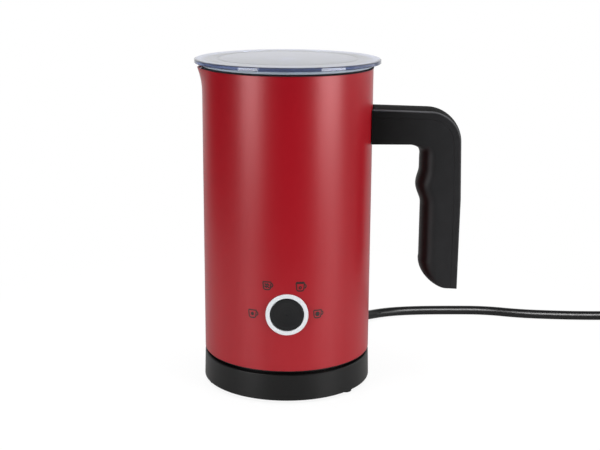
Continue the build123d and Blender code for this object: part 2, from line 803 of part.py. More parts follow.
def biarc(start, start_heading, end, end_heading):
    """Draws two arcs that leave start and reach end with the given headings."""
    chord = end - start
    bend = 2 * (1 - start_heading.dot(end_heading))
    along = chord.dot(start_heading + end_heading)
    reach = ((along**2 + bend * chord.dot(chord)) ** 0.5 - along) / bend
    middle = (start + end + (start_heading - end_heading) * reach) / 2
    middle_heading = ((end - end_heading * reach) - (start + start_heading * reach)).normalized()
    TangentArc(start, middle, tangent=start_heading)
    TangentArc(middle, end, tangent=middle_heading)


def heading_at(curve, turn):
    """Direction of a curve of turns at one place."""
    step = 0.001
    return (curve(turn + step) - curve(turn - step)).normalized()


def least_gap(wire, radius, apart):
    """Least free distance between stretches of a tube that are further apart along it than given."""
    samples = round(2 * wire.length / radius)
    points = [wire.position_at(i / samples) for i in range(samples + 1)]
    skip = int(apart / wire.length * samples) + 1
    pairs = ((i, j) for i in range(samples + 1) for j in range(i + skip, samples + 1))
    return min((points[i] - points[j]).length for i, j in pairs) - 2 * radius


def curl_point(turn):
    """A place on the whisk's ring of curls, counted in curls from its start."""
    around = radians(curl_span) * turn / curl_count
    curl = 2 * pi * turn
    reach = curl_circle - curl_radius * cos(curl)
    return Vector(reach * cos(around), reach * sin(around), curl_height + curl_radius * sin(curl))


with BuildPart() as whisk_coil:
    with BuildLine() as curl_path:
        for half in range(2 * curl_count):
            biarc(
                curl_point(half / 2),
                heading_at(curl_point, half / 2),
                curl_point((half + 1) / 2),
                heading_at(curl_point, (half + 1) / 2),
            )
    with BuildSketch(Plane(origin=curl_point(0), z_dir=heading_at(curl_point, 0))):
        Circle(curl_wire_radius)
    sweep()
whisk_coil.part.label = "whisk_coil"
export_step(whisk_coil.part, "parts/whisk_coil.step")
curl_gap = least_gap(curl_path.wires()[0], curl_wire_radius, 2 * curl_radius)
print("whisk coil: least gap", round(curl_gap, 2), "volume", round(whisk_coil.part.volume, 1),
      "section times length", round(pi * curl_wire_radius**2 * curl_path.wires()[0].length, 1))

# Lid: clear cover with skirt, rib and holder post, and a rubber seal that sits on the rim
with BuildPart() as lid_cover:
    disc(lid_radius, lid_under, lid_top)
    fillet(rings(lid_cover, lid_radius, lid_top), lid_top_edge)
    fillet(rings(lid_cover, lid_radius, lid_under), lid_low_edge)
    tube(lid_skirt_radius - lid_skirt_wall, lid_skirt_radius, lid_under - lid_skirt_height, lid_under)
    lid_rib_inner = lid_rib_radius - lid_rib_width / 2
    tube(lid_rib_inner, lid_rib_inner + lid_rib_width, lid_under - lid_rib_height, lid_under)
    disc(lid_post_radius, lid_under - lid_post_length, lid_under)
    fillet(rings(lid_cover, lid_post_radius, lid_under - lid_post_length), lid_post_edge)
lid_cover.part.label = "lid_cover"
export_step(lid_cover.part, "parts/lid_cover.step")

with BuildPart() as lid_seal:
    seal_inner = lid_skirt_radius + screw_gap
    seal_lip_radius = pot_mouth_inner - turn_gap
    tube(seal_inner, pot_mouth_radius + seal_overlap, rim_top, lid_under)
    tube(seal_inner, seal_lip_radius, rim_top - seal_height, rim_top)
lid_seal.part.label = "lid_seal"
export_step(lid_seal.part, "parts/lid_seal.step")

# Light ring, button, housing and control board, measured inwards from the ring's face
flange_front = ring_depth + button_slack
flange_back = flange_front + button_flange
plunger_tip = flange_back + button_plunger
housing_floor_front = flange_back + button_travel + housing_stop_gap
housing_floor_back = housing_floor_front + housing_floor
board_front = housing_floor_back + housing_rear


def front_disc(radius, start, end, mode=Mode.ADD):
    """Adds or cuts a round piece on the button's axis between two depths."""
    with BuildSketch(button_plane.offset(start)) as section:
        Circle(radius)
    extrude(section.sketch, amount=end - start, mode=mode)


with BuildPart() as light_ring:
    front_disc(ring_radius, 0, ring_depth)
    fillet(light_ring.edges().filter_by(GeomType.CIRCLE).sort_by(Axis.Y)[0], ring_edge)
    disc(body_radius + screw_gap, shell_bottom, rim_top, Mode.SUBTRACT)
    front_disc(ring_neck_radius, ring_edge, ring_depth)
    front_disc(ring_bore_radius, 0, ring_depth, Mode.SUBTRACT)
light_ring.part.label = "light_ring"
export_step(light_ring.part, "parts/light_ring.step")

with BuildPart() as button_cap:
    front_disc(button_radius, button_inset, flange_back)
    fillet(button_cap.edges().filter_by(GeomType.CIRCLE).sort_by(Axis.Y)[0], button_edge)
    front_disc(button_radius + button_flange_width, flange_front, flange_back)
    front_disc(button_plunger_radius, flange_back, plunger_tip)
    with Locations(button_plane.offset(button_inset + button_edge - button_dish_radius)):
        Sphere(button_dish_radius, mode=Mode.SUBTRACT)
button_cap.part.label = "button_cap"
export_step(button_cap.part, "parts/button_cap.step")

with BuildPart() as button_housing:
    front_disc(housing_radius, ring_depth, board_front)
    with BuildSketch(button_plane.offset(board_front - housing_ear[2])):
        with Locations((0, housing_ear_offset), (0, -housing_ear_offset)):
            Rectangle(housing_ear[0], housing_ear[1])
    extrude(amount=housing_ear[2])
    front_disc(button_radius + button_flange_width + turn_gap, ring_depth, housing_floor_front, Mode.SUBTRACT)
    front_disc(button_plunger_radius + turn_gap, housing_floor_front, housing_floor_back, Mode.SUBTRACT)
    front_disc(switch_room_radius, housing_floor_back, board_front, Mode.SUBTRACT)
    with BuildSketch(button_plane.offset(board_front - housing_ear[2])):
        with Locations((0, housing_ear_offset), (0, -housing_ear_offset)):
            Circle(screw_hole_radius)
    extrude(amount=housing_ear[2], mode=Mode.SUBTRACT)
button_housing.part.label = "button_housing"
export_step(button_housing.part, "parts/button_housing.step")

with BuildPart() as control_board:
    with BuildSketch(button_plane.offset(board_front)):
        Rectangle(*control_board_size)
        with Locations((0, housing_ear_offset), (0, -housing_ear_offset)):
            Circle(screw_hole_radius, mode=Mode.SUBTRACT)
    extrude(amount=board_thickness)
control_board.part.label = "control_board"
export_step(control_board.part, "parts/control_board.step")

with BuildPart() as board_screws:
    board_back = board_front + board_thickness
    with BuildSketch(button_plane.offset(board_front - housing_ear[2])):
        with Locations((0, housing_ear_offset), (0, -housing_ear_offset)):
            Circle(screw_radius)
    extrude(amount=housing_ear[2] + board_thickness)
    with BuildSketch(button_plane.offset(board_back)):
        with Locations((0, housing_ear_offset), (0, -housing_ear_offset)):
            Circle(screw_head_radius)
    extrude(amount=screw_head)
board_screws.part.label = "board_screws"
export_step(board_screws.part, "parts/board_screws.step")

with BuildPart() as tact_switch:
    with BuildSketch(button_plane.offset(board_front - switch_height)):
        Rectangle(switch_width, switch_width)
    extrude(amount=switch_height)
    front_disc(switch_stem_radius, board_front - switch_height - switch_stem, board_front - switch_height)
tact_switch.part.label = "tact_switch"
export_step(tact_switch.part, "parts/tact_switch.step")

# Power board beside the socket, with its relay and capacitor
power_board_outer = cap_wall_inner - power_board_gap
power_board_middle = sum(power_board_angles) / 2
power_board_top = power_board_under + board_thickness
board_sector = Plane(
    origin=(0, 0, power_board_under),
    x_dir=(cos(radians(power_board_angles[0])), sin(radians(power_board_angles[0])), 0),
    z_dir=(sin(radians(power_board_angles[0])), -cos(radians(power_board_angles[0])), 0),
)
with BuildPart() as power_board:
    with BuildSketch(board_sector):
        with Locations((power_board_inner, 0)):
            Rectangle(
                power_board_outer - power_board_inner, board_thickness, align=(Align.MIN, Align.MIN)
            )
    revolve(axis=Axis.Z, revolution_arc=power_board_angles[1] - power_board_angles[0])
    studs_at(power_screw_circle, power_screw_angles, screw_hole_radius,
             power_board_under, power_board_top, Mode.SUBTRACT)
    with BuildSketch(Plane.XY.offset(power_board_top)):
        with PolarLocations(power_screw_circle, 1, power_board_middle):
            Rectangle(relay_size[0], relay_size[1])
    extrude(amount=relay_size[2])
    capacitor_angle = (power_board_middle + power_screw_angles[1]) / 2
    studs(power_screw_circle, 1, capacitor_angle, capacitor_radius,
          power_board_top, power_board_top + capacitor_height)
power_board.part.label = "power_board"
export_step(power_board.part, "parts/power_board.step")

with BuildPart() as power_screws:
    studs_at(power_screw_circle, power_screw_angles, screw_radius,
             power_board_under - screw_grip + fit_gap, power_board_top)
    studs_at(power_screw_circle, power_screw_angles, screw_head_radius,
             power_board_top, power_board_top + screw_head)
power_screws.part.label = "power_screws"
export_step(power_screws.part, "parts/power_screws.step")

# Handle: body, outer cover, and the bracket and screws inside the shell that hold it
handle_root = shell_inner_radius - fit_gap - handle_bracket_thickness


def handle_outline(inset):
    """Draws the handle's side view, with its outer edge drawn in by an inset."""
    top_outer = (handle_reach - handle_lean - inset, handle_arm_top - handle_top_drop - inset)
    foot_inner = (grip_lower, handle_bottom)
    foot_round = min(grip_foot_radius, 0.9 * (handle_reach - cover_thickness - screw_gap - grip_lower))
    corner_inner = (grip_upper, handle_arm_bottom)
    with BuildSketch(Plane.XZ) as outline:
        with BuildLine():
            Polyline(
                (grip_lower, bump_height - bump_span),
                foot_inner,
                (handle_reach - inset, handle_bottom),
                (handle_reach - inset, handle_lean_start),
                top_outer,
                (handle_root, handle_arm_top - inset),
                (handle_root, handle_arm_bottom),
                corner_inner,
                (grip_upper, bump_height + bump_span),
            )
            Spline(
                (grip_upper, bump_height + bump_span),
                (bump_reach, bump_height),
                (grip_lower, bump_height - bump_span),
                tangents=((0, -1), (0, -1)),
            )
        make_face()
        for corner, radius in (
            (foot_inner, foot_round),
            (corner_inner, inner_corner),
            (top_outer, handle_corner - inset),
        ):
            fillet(outline.vertices().sort_by_distance(corner)[0], radius)
    return outline.sketch


def handle_side_edges(builder):
    """Edges of the handle's two side faces."""
    near = builder.edges().filter_by_position(Axis.Y, -handle_half - same_place, -handle_half + same_place)
    far = builder.edges().filter_by_position(Axis.Y, handle_half - same_place, handle_half + same_place)
    return near + far


def seat_on_shell():
    """Cuts the handle's root to the round of the outer shell."""
    disc(body_radius + screw_gap, shell_bottom, rim_top, Mode.SUBTRACT)


handle_arm_middle = (handle_arm_bottom + handle_arm_top) / 2
grip_middle = (grip_lower + handle_reach) / 2

with BuildPart() as handle_cover:
    extrude(handle_outline(0), amount=handle_half, both=True)
    outer_edges = [
        edge
        for edge in handle_side_edges(handle_cover)
        if edge.center().Z > handle_arm_middle
        or (edge.center().X > grip_middle and edge.center().Z > handle_bottom + cover_edge)
    ]
    fillet([edge for edge in outer_edges if edge.center().X > handle_root + cover_edge], cover_edge)
    extrude(handle_outline(cover_thickness), amount=handle_half + cover_edge, both=True, mode=Mode.SUBTRACT)
    seat_on_shell()
handle_cover.part.label = "handle_cover"
export_step(handle_cover.part, "parts/handle_cover.step")

with BuildPart() as handle_body:
    extrude(handle_outline(cover_thickness + screw_gap), amount=handle_half, both=True)
    inner_edges = [
        edge
        for edge in handle_side_edges(handle_body)
        if edge.center().X < grip_middle and edge.center().Z < handle_arm_bottom + inner_corner
    ]
    fillet([edge for edge in inner_edges if edge.center().X > handle_root + inner_corner], grip_edge)
    seat_on_shell()
    with BuildSketch(Plane.YZ):
        for height in handle_screw_heights:
            with Locations((0, height)):
                Circle(handle_screw_radius + screw_gap)
    extrude(amount=handle_screw_end + fit_gap, mode=Mode.SUBTRACT)
handle_body.part.label = "handle_body"
export_step(handle_body.part, "parts/handle_body.step")

with BuildPart() as handle_bracket:
    bracket_start = -handle_bracket_angle / 2
    bracket_plane = Plane(
        origin=(0, 0, handle_arm_middle),
        x_dir=(cos(radians(bracket_start)), sin(radians(bracket_start)), 0),
        z_dir=(sin(radians(bracket_start)), -cos(radians(bracket_start)), 0),
    )
    with BuildSketch(bracket_plane):
        with Locations((handle_root + handle_bracket_thickness / 2, 0)):
            Rectangle(handle_bracket_thickness, handle_bracket_height)
    revolve(axis=Axis.Z, revolution_arc=handle_bracket_angle)
    with BuildSketch(Plane.YZ):
        for height in handle_screw_heights:
            with Locations((0, height)):
                Circle(handle_screw_radius + screw_gap)
    extrude(amount=2 * body_radius, mode=Mode.SUBTRACT)
handle_bracket.part.label = "handle_bracket"
export_step(handle_bracket.part, "parts/handle_bracket.step")

with BuildPart() as handle_screws:
    handle_head_seat = handle_root - screw_gap
    with BuildSketch(Plane.YZ.offset(handle_head_seat)):
        for height in handle_screw_heights:
            with Locations((0, height)):
                Circle(handle_screw_radius)
    extrude(amount=handle_screw_end - handle_head_seat)
    with BuildSketch(Plane.YZ.offset(handle_head_seat)):
        for height in handle_screw_heights:
            with Locations((0, height)):
                Circle(handle_screw_head_radius)
    extrude(amount=-handle_screw_head)
handle_screws.part.label = "handle_screws"
export_step(handle_screws.part, "parts/handle_screws.step")

# Strain relief: neck through the base's wall, collar inside, grooved taper outside
with BuildPart() as strain_relief:
    relief_inset = base_wall + relief_collar_seat
    with BuildSketch(relief_plane.offset(-relief_inset)):
        Circle(relief_neck_radius)
    extrude(amount=relief_inset)
    with BuildSketch(relief_plane.offset(-relief_inset - relief_collar[2])):
        Rectangle(relief_collar[0], relief_collar[1])
    extrude(amount=relief_collar[2])
    with BuildSketch(relief_plane):
        Circle(relief_root_radius)
    with BuildSketch(relief_plane.offset(relief_length)):
        Circle(relief_tip_radius)
    loft()
    groove_step = relief_length / (relief_groove_count + 1)
    for groove in range(1, relief_groove_count + 1):
        depth = groove * groove_step
        slope = (relief_root_radius - relief_tip_radius) / relief_length
        with BuildSketch(relief_plane.offset(depth - relief_groove / 2)):
            Circle(relief_root_radius)
            Circle(relief_root_radius - slope * depth - relief_groove_depth, mode=Mode.SUBTRACT)
        extrude(amount=relief_groove, mode=Mode.SUBTRACT)
strain_relief.part.label = "strain_relief"
export_step(strain_relief.part, "parts/strain_relief.step")


def cord_radii(points):
    """Largest arc at each corner of a cord's route: 0.45 of its shorter run reaches into the arc."""
    radii = []
    for before, corner, after in zip(points, points[1:], points[2:]):
        run_in = corner - before
        run_out = after - corner
        half_turn = radians(run_in.get_angle(run_out)) / 2
        radii.append(0.45 * min(run_in.length, run_out.length) / tan(half_turn))
    return radii


def report_tube(name, wire, part):
    """Prints a tube's volume beside its section times its length."""
    section = pi * cord_radius**2
    print(name, "length", round(wire.length, 1), "volume", round(part.volume, 1),
          "section times length", round(section * wire.length, 1))


# Cord from the strain relief along the table to the coil
coil_height = cord_radius + tie_thickness + tie_gap
coil_lead = 2 * cord_radius


def coil_point(turn):
    """A place on the coil, which runs clockwise from its back, spiralling in, climbing and spiralling out."""
    radius = coil_inner_radius + coil_pitch * abs(turn - coil_turns / 2)
    climb = min(max((turn - coil_turns / 2) / coil_climb + 0.5, 0), 1)
    rise = coil_pitch * climb**2 * (3 - 2 * climb)
    angle = pi / 2 - 2 * pi * turn
    return Vector(coil_x + radius * cos(angle), coil_y + radius * sin(angle), coil_height + rise)


coil_start_heading = Vector(1, 0, 0)
coil_end_angle = 2 * pi * coil_turns
coil_end_heading = Vector(cos(coil_end_angle), -sin(coil_end_angle), 0)
coil_start = coil_point(0) - coil_start_heading * coil_lead
coil_end = coil_point(coil_turns) + coil_end_heading * coil_lead

relief_tip = relief_plane.offset(relief_length).origin
cord_points = [
    relief_tip,
    relief_tip + relief_heading * cord_first_run,
    Vector(55.5, 102.5, 4.2),
    Vector(73.0, 114.6, cord_radius),
    Vector(94.0, 118.6, cord_radius),
    Vector(120.0, 119.5, cord_radius),
    Vector(147.0, 119.3, cord_radius),
    Vector(170.0, 112.0, cord_radius),
    Vector(190.0, 109.2, cord_radius),
    Vector(215.0, 107.3, cord_radius),
    coil_start - coil_start_heading * cord_last_run,
    coil_start,
]
cord_bends = cord_radii(cord_points)
print("cord radii", [round(radius, 1) for radius in cord_bends])

with BuildPart() as cord:
    with BuildLine() as cord_path:
        FilletPolyline(*cord_points, radius=cord_bends)
    with BuildSketch(Plane(origin=cord_points[0], z_dir=cord_points[1] - cord_points[0])):
        Circle(cord_radius)
    sweep()
cord.part.label = "cord"
export_step(cord.part, "parts/cord.step")
report_tube("cord", cord_path.wires()[0], cord.part)

# Coil of the spare length, one unbroken tube in two layers
with BuildPart() as cord_coil:
    with BuildLine() as coil_path:
        Line(coil_start, coil_point(0))
        quarters = round(4 * coil_turns)
        headings = [heading_at(coil_point, quarter / 4) for quarter in range(quarters + 1)]
        headings[0] = coil_start_heading
        headings[-1] = coil_end_heading
        for quarter in range(quarters):
            biarc(
                coil_point(quarter / 4),
                headings[quarter],
                coil_point((quarter + 1) / 4),
                headings[quarter + 1],
            )
        Line(coil_point(coil_turns), coil_end)
    with BuildSketch(Plane(origin=coil_start, z_dir=coil_start_heading)):
        Circle(cord_radius)
    sweep()
cord_coil.part.label = "cord_coil"
export_step(cord_coil.part, "parts/cord_coil.step")
report_tube("cord coil", coil_path.wires()[0], cord_coil.part)
coil_gap = least_gap(coil_path.wires()[0], cord_radius, coil_inner_radius)
print("cord coil: least gap", round(coil_gap, 2))

# Tie round the two strands at the coil's front
with BuildPart() as cord_tie:
    strands = [coil_point(0.5), coil_point(1.5)]
    tie_low = min(strand.Y for strand in strands) - cord_radius - tie_gap
    tie_high = max(strand.Y for strand in strands) + cord_radius + tie_gap
    tie_top = max(strand.Z for strand in strands) + cord_radius + tie_gap
    tie_size = (tie_high - tie_low, tie_top - tie_thickness)
    tie_middle = ((tie_high + tie_low) / 2, (tie_top + tie_thickness) / 2)
    with BuildSketch(Plane.YZ.offset(coil_x - tie_width / 2)):
        with Locations(tie_middle):
            Rectangle(tie_size[0] + 2 * tie_thickness, tie_size[1] + 2 * tie_thickness)
            Rectangle(*tie_size, mode=Mode.SUBTRACT)
    extrude(amount=tie_width)
cord_tie.part.label = "cord_tie"
export_step(cord_tie.part, "parts/cord_tie.step")

# Last stretch of cord, which rises from the coil to the plug
tail_points = [
    coil_end,
    coil_end + coil_end_heading * tail_runs[0],
    Vector(coil_end.X, coil_end.Y, plug_radius) + coil_end_heading * tail_runs[1],
    Vector(coil_end.X, coil_end.Y, plug_radius) + coil_end_heading * tail_runs[2],
]
tail_bends = cord_radii(tail_points)
print("cord tail radii", [round(radius, 1) for radius in tail_bends])

with BuildPart() as cord_tail:
    with BuildLine() as tail_path:
        FilletPolyline(*tail_points, radius=tail_bends)
    with BuildSketch(Plane(origin=coil_end, z_dir=coil_end_heading)):
        Circle(cord_radius)
    sweep()
cord_tail.part.label = "cord_tail"
export_step(cord_tail.part, "parts/cord_tail.step")
report_tube("cord tail", tail_path.wires()[0], cord_tail.part)
cord_length = sum(path.wires()[0].length for path in (cord_path, coil_path, tail_path))
print("cord length in all", round(cord_length, 1))

# Plug on its side: moulded body with strain relief, two round pins and two earth clips
plug_plane = Plane(origin=tail_points[-1], x_dir=(0, 0, 1), z_dir=coil_end_heading)
plug_neck_end = plug_relief + plug_taper
plug_face = plug_neck_end + plug_front
clip_width, clip_thickness, clip_length = earth_clip

with BuildPart() as plug_body:
    with BuildSketch(plug_plane):
        Circle(cord_radius + plug_relief_wall)
    with BuildSketch(plug_plane.offset(plug_relief)):
        Circle(plug_neck_radius)
    loft()
    with BuildSketch(plug_plane.offset(plug_relief)):
        Circle(plug_neck_radius)
    with BuildSketch(plug_plane.offset(plug_neck_end)):
        Circle(plug_radius)
    loft()
    with BuildSketch(plug_plane.offset(plug_neck_end)):
        Circle(plug_radius)
    extrude(amount=plug_front)
    fillet(plug_body.edges().filter_by(GeomType.CIRCLE).sort_by(Axis.Y)[0], plug_edge)
    with BuildSketch(plug_plane.offset(plug_face - plug_pin_root)):
        with Locations((plug_pin_spacing / 2, 0), (-plug_pin_spacing / 2, 0)):
            Circle(plug_pin_root_radius + screw_gap)
    extrude(amount=plug_pin_root, mode=Mode.SUBTRACT)
    with BuildSketch(plug_plane.offset(plug_face - clip_length)):
        with Locations((0, plug_radius), (0, -plug_radius)):
            Rectangle(clip_width + 2 * fit_gap, 2 * earth_clip_recess)
    extrude(amount=clip_length, mode=Mode.SUBTRACT)
plug_body.part.label = "plug_body"
export_step(plug_body.part, "parts/plug_body.step")

with BuildPart() as plug_pins:
    with BuildSketch(plug_plane.offset(plug_face - plug_pin_root)):
        with Locations((plug_pin_spacing / 2, 0), (-plug_pin_spacing / 2, 0)):
            Circle(plug_pin_root_radius)
    extrude(amount=plug_pin_root)
    with BuildSketch(plug_plane.offset(plug_face)):
        with Locations((plug_pin_spacing / 2, 0), (-plug_pin_spacing / 2, 0)):
            Circle(plug_pin_radius)
    extrude(amount=plug_pin_length)
    chamfer(plug_pins.edges().group_by(Axis.Y)[0], plug_pin_tip)
plug_pins.part.label = "plug_pins"
export_step(plug_pins.part, "parts/plug_pins.step")

with BuildPart() as earth_clips:
    clip_middle = plug_radius - earth_clip_recess + clip_thickness / 2
    with BuildSketch(plug_plane.offset(plug_face - clip_length)):
        with Locations((0, clip_middle), (0, -clip_middle)):
            Rectangle(clip_width, clip_thickness)
    extrude(amount=clip_length)
earth_clips.part.label = "earth_clips"
export_step(earth_clips.part, "parts/earth_clips.step")
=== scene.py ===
"""Dresses an electric milk frother: red jug, clear lid, handle, lit button, power base, cord and studio."""

from math import atan2, cos, hypot, pi, radians, sin, sqrt

import bmesh
import bpy
from bpy.props import FloatProperty, FloatVectorProperty, IntProperty, PointerProperty
from mathutils import Matrix, Vector


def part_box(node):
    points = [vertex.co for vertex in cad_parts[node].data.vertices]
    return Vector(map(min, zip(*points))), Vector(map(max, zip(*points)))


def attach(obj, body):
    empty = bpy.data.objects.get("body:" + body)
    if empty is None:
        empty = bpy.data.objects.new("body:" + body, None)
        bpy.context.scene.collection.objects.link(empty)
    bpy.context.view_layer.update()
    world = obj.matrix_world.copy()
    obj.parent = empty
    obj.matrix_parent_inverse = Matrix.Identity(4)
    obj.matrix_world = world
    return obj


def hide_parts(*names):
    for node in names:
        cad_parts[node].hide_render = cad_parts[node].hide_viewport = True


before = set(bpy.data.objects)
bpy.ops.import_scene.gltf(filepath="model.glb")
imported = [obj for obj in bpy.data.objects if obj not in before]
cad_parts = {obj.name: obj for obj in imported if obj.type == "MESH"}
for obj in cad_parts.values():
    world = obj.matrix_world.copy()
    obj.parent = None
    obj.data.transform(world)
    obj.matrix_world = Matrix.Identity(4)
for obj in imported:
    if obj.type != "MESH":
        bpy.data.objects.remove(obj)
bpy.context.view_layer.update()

bl_info = {
    "name": "Milk Frother",
    "version": (1, 0, 0),
    "blender": (4, 5, 0),
    "location": "View3D > Sidebar > Frother",
    "description": "Builds the looks of an electric milk frother around its packed frame",
    "category": "Add Mesh",
}

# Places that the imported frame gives, in metres
shell_low, shell_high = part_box("outer_shell")
pot_low, pot_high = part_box("inner_pot")
lid_low, lid_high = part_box("lid_cover")
ring_low, ring_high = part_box("light_ring")
handle_low, handle_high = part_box("handle_cover")
spring_low, spring_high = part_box("whisk_coil")
tie_low, tie_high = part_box("cord_tie")
plug_low, plug_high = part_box("plug_body")
clips_low, clips_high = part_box("earth_clips")
seal_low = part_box("lid_seal")[0]
MM = 0.001
NEAR = 0.00001
AROUND = 192  # steps of a large turned shape
ROUND_STEPS = 12  # steps of a rounded profile
FRONT_CENTRE = Vector((0, 0, (ring_low.z + ring_high.z) / 2))


def length(name, description, millimetres):
    """A size that a user can change, given here in millimetres and kept in metres."""
    return FloatProperty(name=name, description=description, default=millimetres * MM, unit="LENGTH",
                         precision=5)


def colour(name, description, default):
    """A colour that a user can change."""
    return FloatVectorProperty(name=name, description=description, default=default, size=3,
                               subtype="COLOR", min=0, max=1)


def angle(name, description, default):
    """An angle in radians that a user can change."""
    return FloatProperty(name=name, description=description, default=default, subtype="ANGLE")


def amount(name, description, default):
    """A plain number that a user can change, such as the radiance of a light."""
    return FloatProperty(name=name, description=description, default=default)


class FrotherSizes(bpy.types.PropertyGroup):
    """Sizes of the pieces."""

    shell_wall: length("Shell wall", "Thickness of the red shell", 0.8)
    rim_round: length("Rim round", "Rounding of the red shell's rim", 0.25)
    lip_nose: length("Lip nose", "Radius of the pouring lip's nose", 30)
    lip_height: length("Lip height", "Height of the pouring lip below the rim", 17)
    lip_sink: length("Lip sink", "Depth at which the lip's round starts inside the shell", 0.35)
    lip_blend: length("Lip blend", "Softness of the fold beside the pouring lip", 1.2)
    button_hole: length("Button hole", "Radius of the hole for the light ring", 12)
    pot_radius: length("Pot radius", "Outer radius of the pot's straight wall", 46)
    pot_wall: length("Pot wall", "Thickness of the pot", 0.8)
    pot_corner: length("Pot corner", "Rounding between the pot's floor and wall", 5)
    pot_mouth: length("Pot mouth", "Height of the pot's wide mouth", 18.5)
    pot_cone_round: length("Pot cone round", "Rounding of the bends above and below the cone", 2)
    pot_drop: length("Pot drop", "How far the pot's rim lies below the shell's rim", 0.9)
    pot_cone: length("Pot cone", "Height of the cone below the pot's mouth", 9.5)
    lid_thickness: length("Lid thickness", "Thickness of the lid's plate", 3)
    lid_rise: length("Lid rise", "Rise of the lid's top above its packed place", 0.4)
    lid_rim: length("Lid rim", "Height of the lid's rim", 2.4)
    lid_round: length("Lid round", "Height of the rounding round the lid's top", 0.6)
    lid_border: length("Lid border", "Width of the rounding round the lid's top", 1.6)
    lid_low_round: length("Lid low round", "Rounding of the rim's lower edge", 0.25)
    lid_groove: length("Lid groove", "Radius of the ring groove in the lid's top", 42.3)
    lid_groove_width: length("Lid groove width", "Width of the ring groove", 1.0)
    lid_groove_depth: length("Lid groove depth", "Depth of the ring groove", 0.2)
    foot_outer: length("Foot outer", "Outer radius of the foot ring under the lid's rim", 51.3)
    foot_inner: length("Foot inner", "Inner radius of the foot ring", 49.9)
    foot_low: length("Foot low", "How far the foot ring hangs below the lid's plate", 1.0)
    foot_round: length("Foot round", "Rounding of the foot ring's lower edges", 0.3)
    lid_skirt: length("Lid skirt", "Outer radius of the lid's skirt", 48.5)
    lid_skirt_wall: length("Lid skirt wall", "Thickness of the lid's skirt", 2.2)
    lid_skirt_height: length("Lid skirt height", "Height of the lid's skirt", 12)
    lid_rib: length("Lid rib", "Middle radius of the rib under the lid", 42)
    lid_rib_width: length("Lid rib width", "Width of the rib under the lid", 2)
    lid_rib_height: length("Lid rib height", "Height of the rib under the lid", 2.5)
    lid_under_round: length("Lid under round", "Rounding of the skirt's and the rib's lower edges", 0.4)
    lid_post: length("Lid post", "Radius of the post under the lid", 5)
    post_round: length("Post round", "Rounding of the post's lower edge", 1.0)
    seal_lip: length("Seal lip", "Outer radius of the seal's lips in the pot", 49.6)
    seal_wall: length("Seal wall", "Outer radius of the seal between its lips", 49.1)
    seal_flange: length("Seal flange", "Outer radius of the seal's flange on the rim", 52.0)
    seal_flange_height: length("Seal flange height", "Height of the flange's outer edge", 0.5)
    flange_round: length("Flange round", "Rounding of the flange's outer edges", 0.3)
    arm_depth: length("Arm depth", "Height of the handle's arm at the shell", 21.6)
    arm_fall: length("Arm fall", "Fall of the arm's upper edge towards its corner", 2.4)
    handle_corner: length("Handle corner", "Rounding of the handle's outer corner", 18)
    handle_armpit: length("Handle armpit", "Rounding between the arm and the grip", 7)
    handle_lean: length("Handle lean", "How far the outer edge comes in towards the top", 1.6)
    lean_start: length("Lean start", "Height above the floor at which the lean starts", 116)
    grip_start: length("Grip start", "Distance of the grip's inner edge from the jug's axis", 81)
    grip_slope: length("Grip slope", "How far the grip's inner edge goes back below the bump", 1.3)
    grip_foot: length("Grip foot", "Rounding of the grip's lower inner corner", 17)
    bump_height: length("Bump height", "Height of the finger bump above the floor", 124)
    bump_rise: length("Bump rise", "Rise of the finger bump", 2.55)
    bump_span: length("Bump span", "Half the length of the finger bump", 11)
    grip_round: length("Grip round", "Depth of the handle's inner rounding", 9)
    grip_blend: length("Grip blend", "Length over which the grip's rounding starts below the arm", 5)
    cover_edge: length("Cover edge", "Depth of the handle's outer rounding", 0.8)
    cover_edge_width: length("Cover edge width", "Width of the handle's outer rounding", 1.6)
    cover_crown: length("Cover crown", "Rise of the handle's outer face between its edges", 1.5)
    cover_thickness: length("Cover thickness", "Thickness of the handle's cover", 4)
    cover_seam: length("Cover seam", "Gap between the handle's cover and its body", 0.1)
    shell_seam: length("Shell seam", "Gap between the handle and the shell", 0.45)
    spring_circle: length("Spring circle", "Radius of the whisk's ring of curls", 14.45)
    spring_curl: length("Spring curl", "Radius of one curl of the whisk's spring", 2.6)
    spring_wire: length("Spring wire", "Radius of the spring's wire", 0.45)
    spring_curls: IntProperty(name="Spring curls", description="Curls of the whisk's spring", default=22)
    spring_span: angle("Spring span", "Turn that the spring fills round the hub", radians(345))
    icon_stroke: length("Icon stroke", "Width of the printed lines", 0.75)
    ink_height: length("Ink height", "Thickness of the printed ink", 0.04)
    cord_diameter: length("Cord diameter", "Outer diameter of the cord", 6.5)
    coil_radius: length("Coil radius", "Inner radius of the put-away coil", 32)
    coil_turns: amount("Coil turns", "Turns of the put-away coil", 2.25)
    coil_pitch: length("Coil pitch", "Distance between the coil's turns", 7)
    tie_gap: length("Tie gap", "Room between the band and the cord", 0.3)
    tie_thickness: length("Tie thickness", "Thickness of the band round the coil", 0.6)
    plug_neck: length("Plug neck", "Length of the plug's grooved neck", 25)
    plug_neck_radius: length("Plug neck radius", "Radius of the neck at the plug", 9)
    plug_taper: length("Plug taper", "Length of the plug's taper", 16)
    plug_flute: length("Plug flute", "Depth of the finger flutes on the plug", 1.1)
    plug_round: length("Plug round", "Rounding of the plug's front edge", 1.5)
    plug_dish: length("Plug dish", "Depth of the plug's face inside its rim", 0.8)
    clip_recess: length("Clip recess", "Depth of the seats for the earth clips", 2)


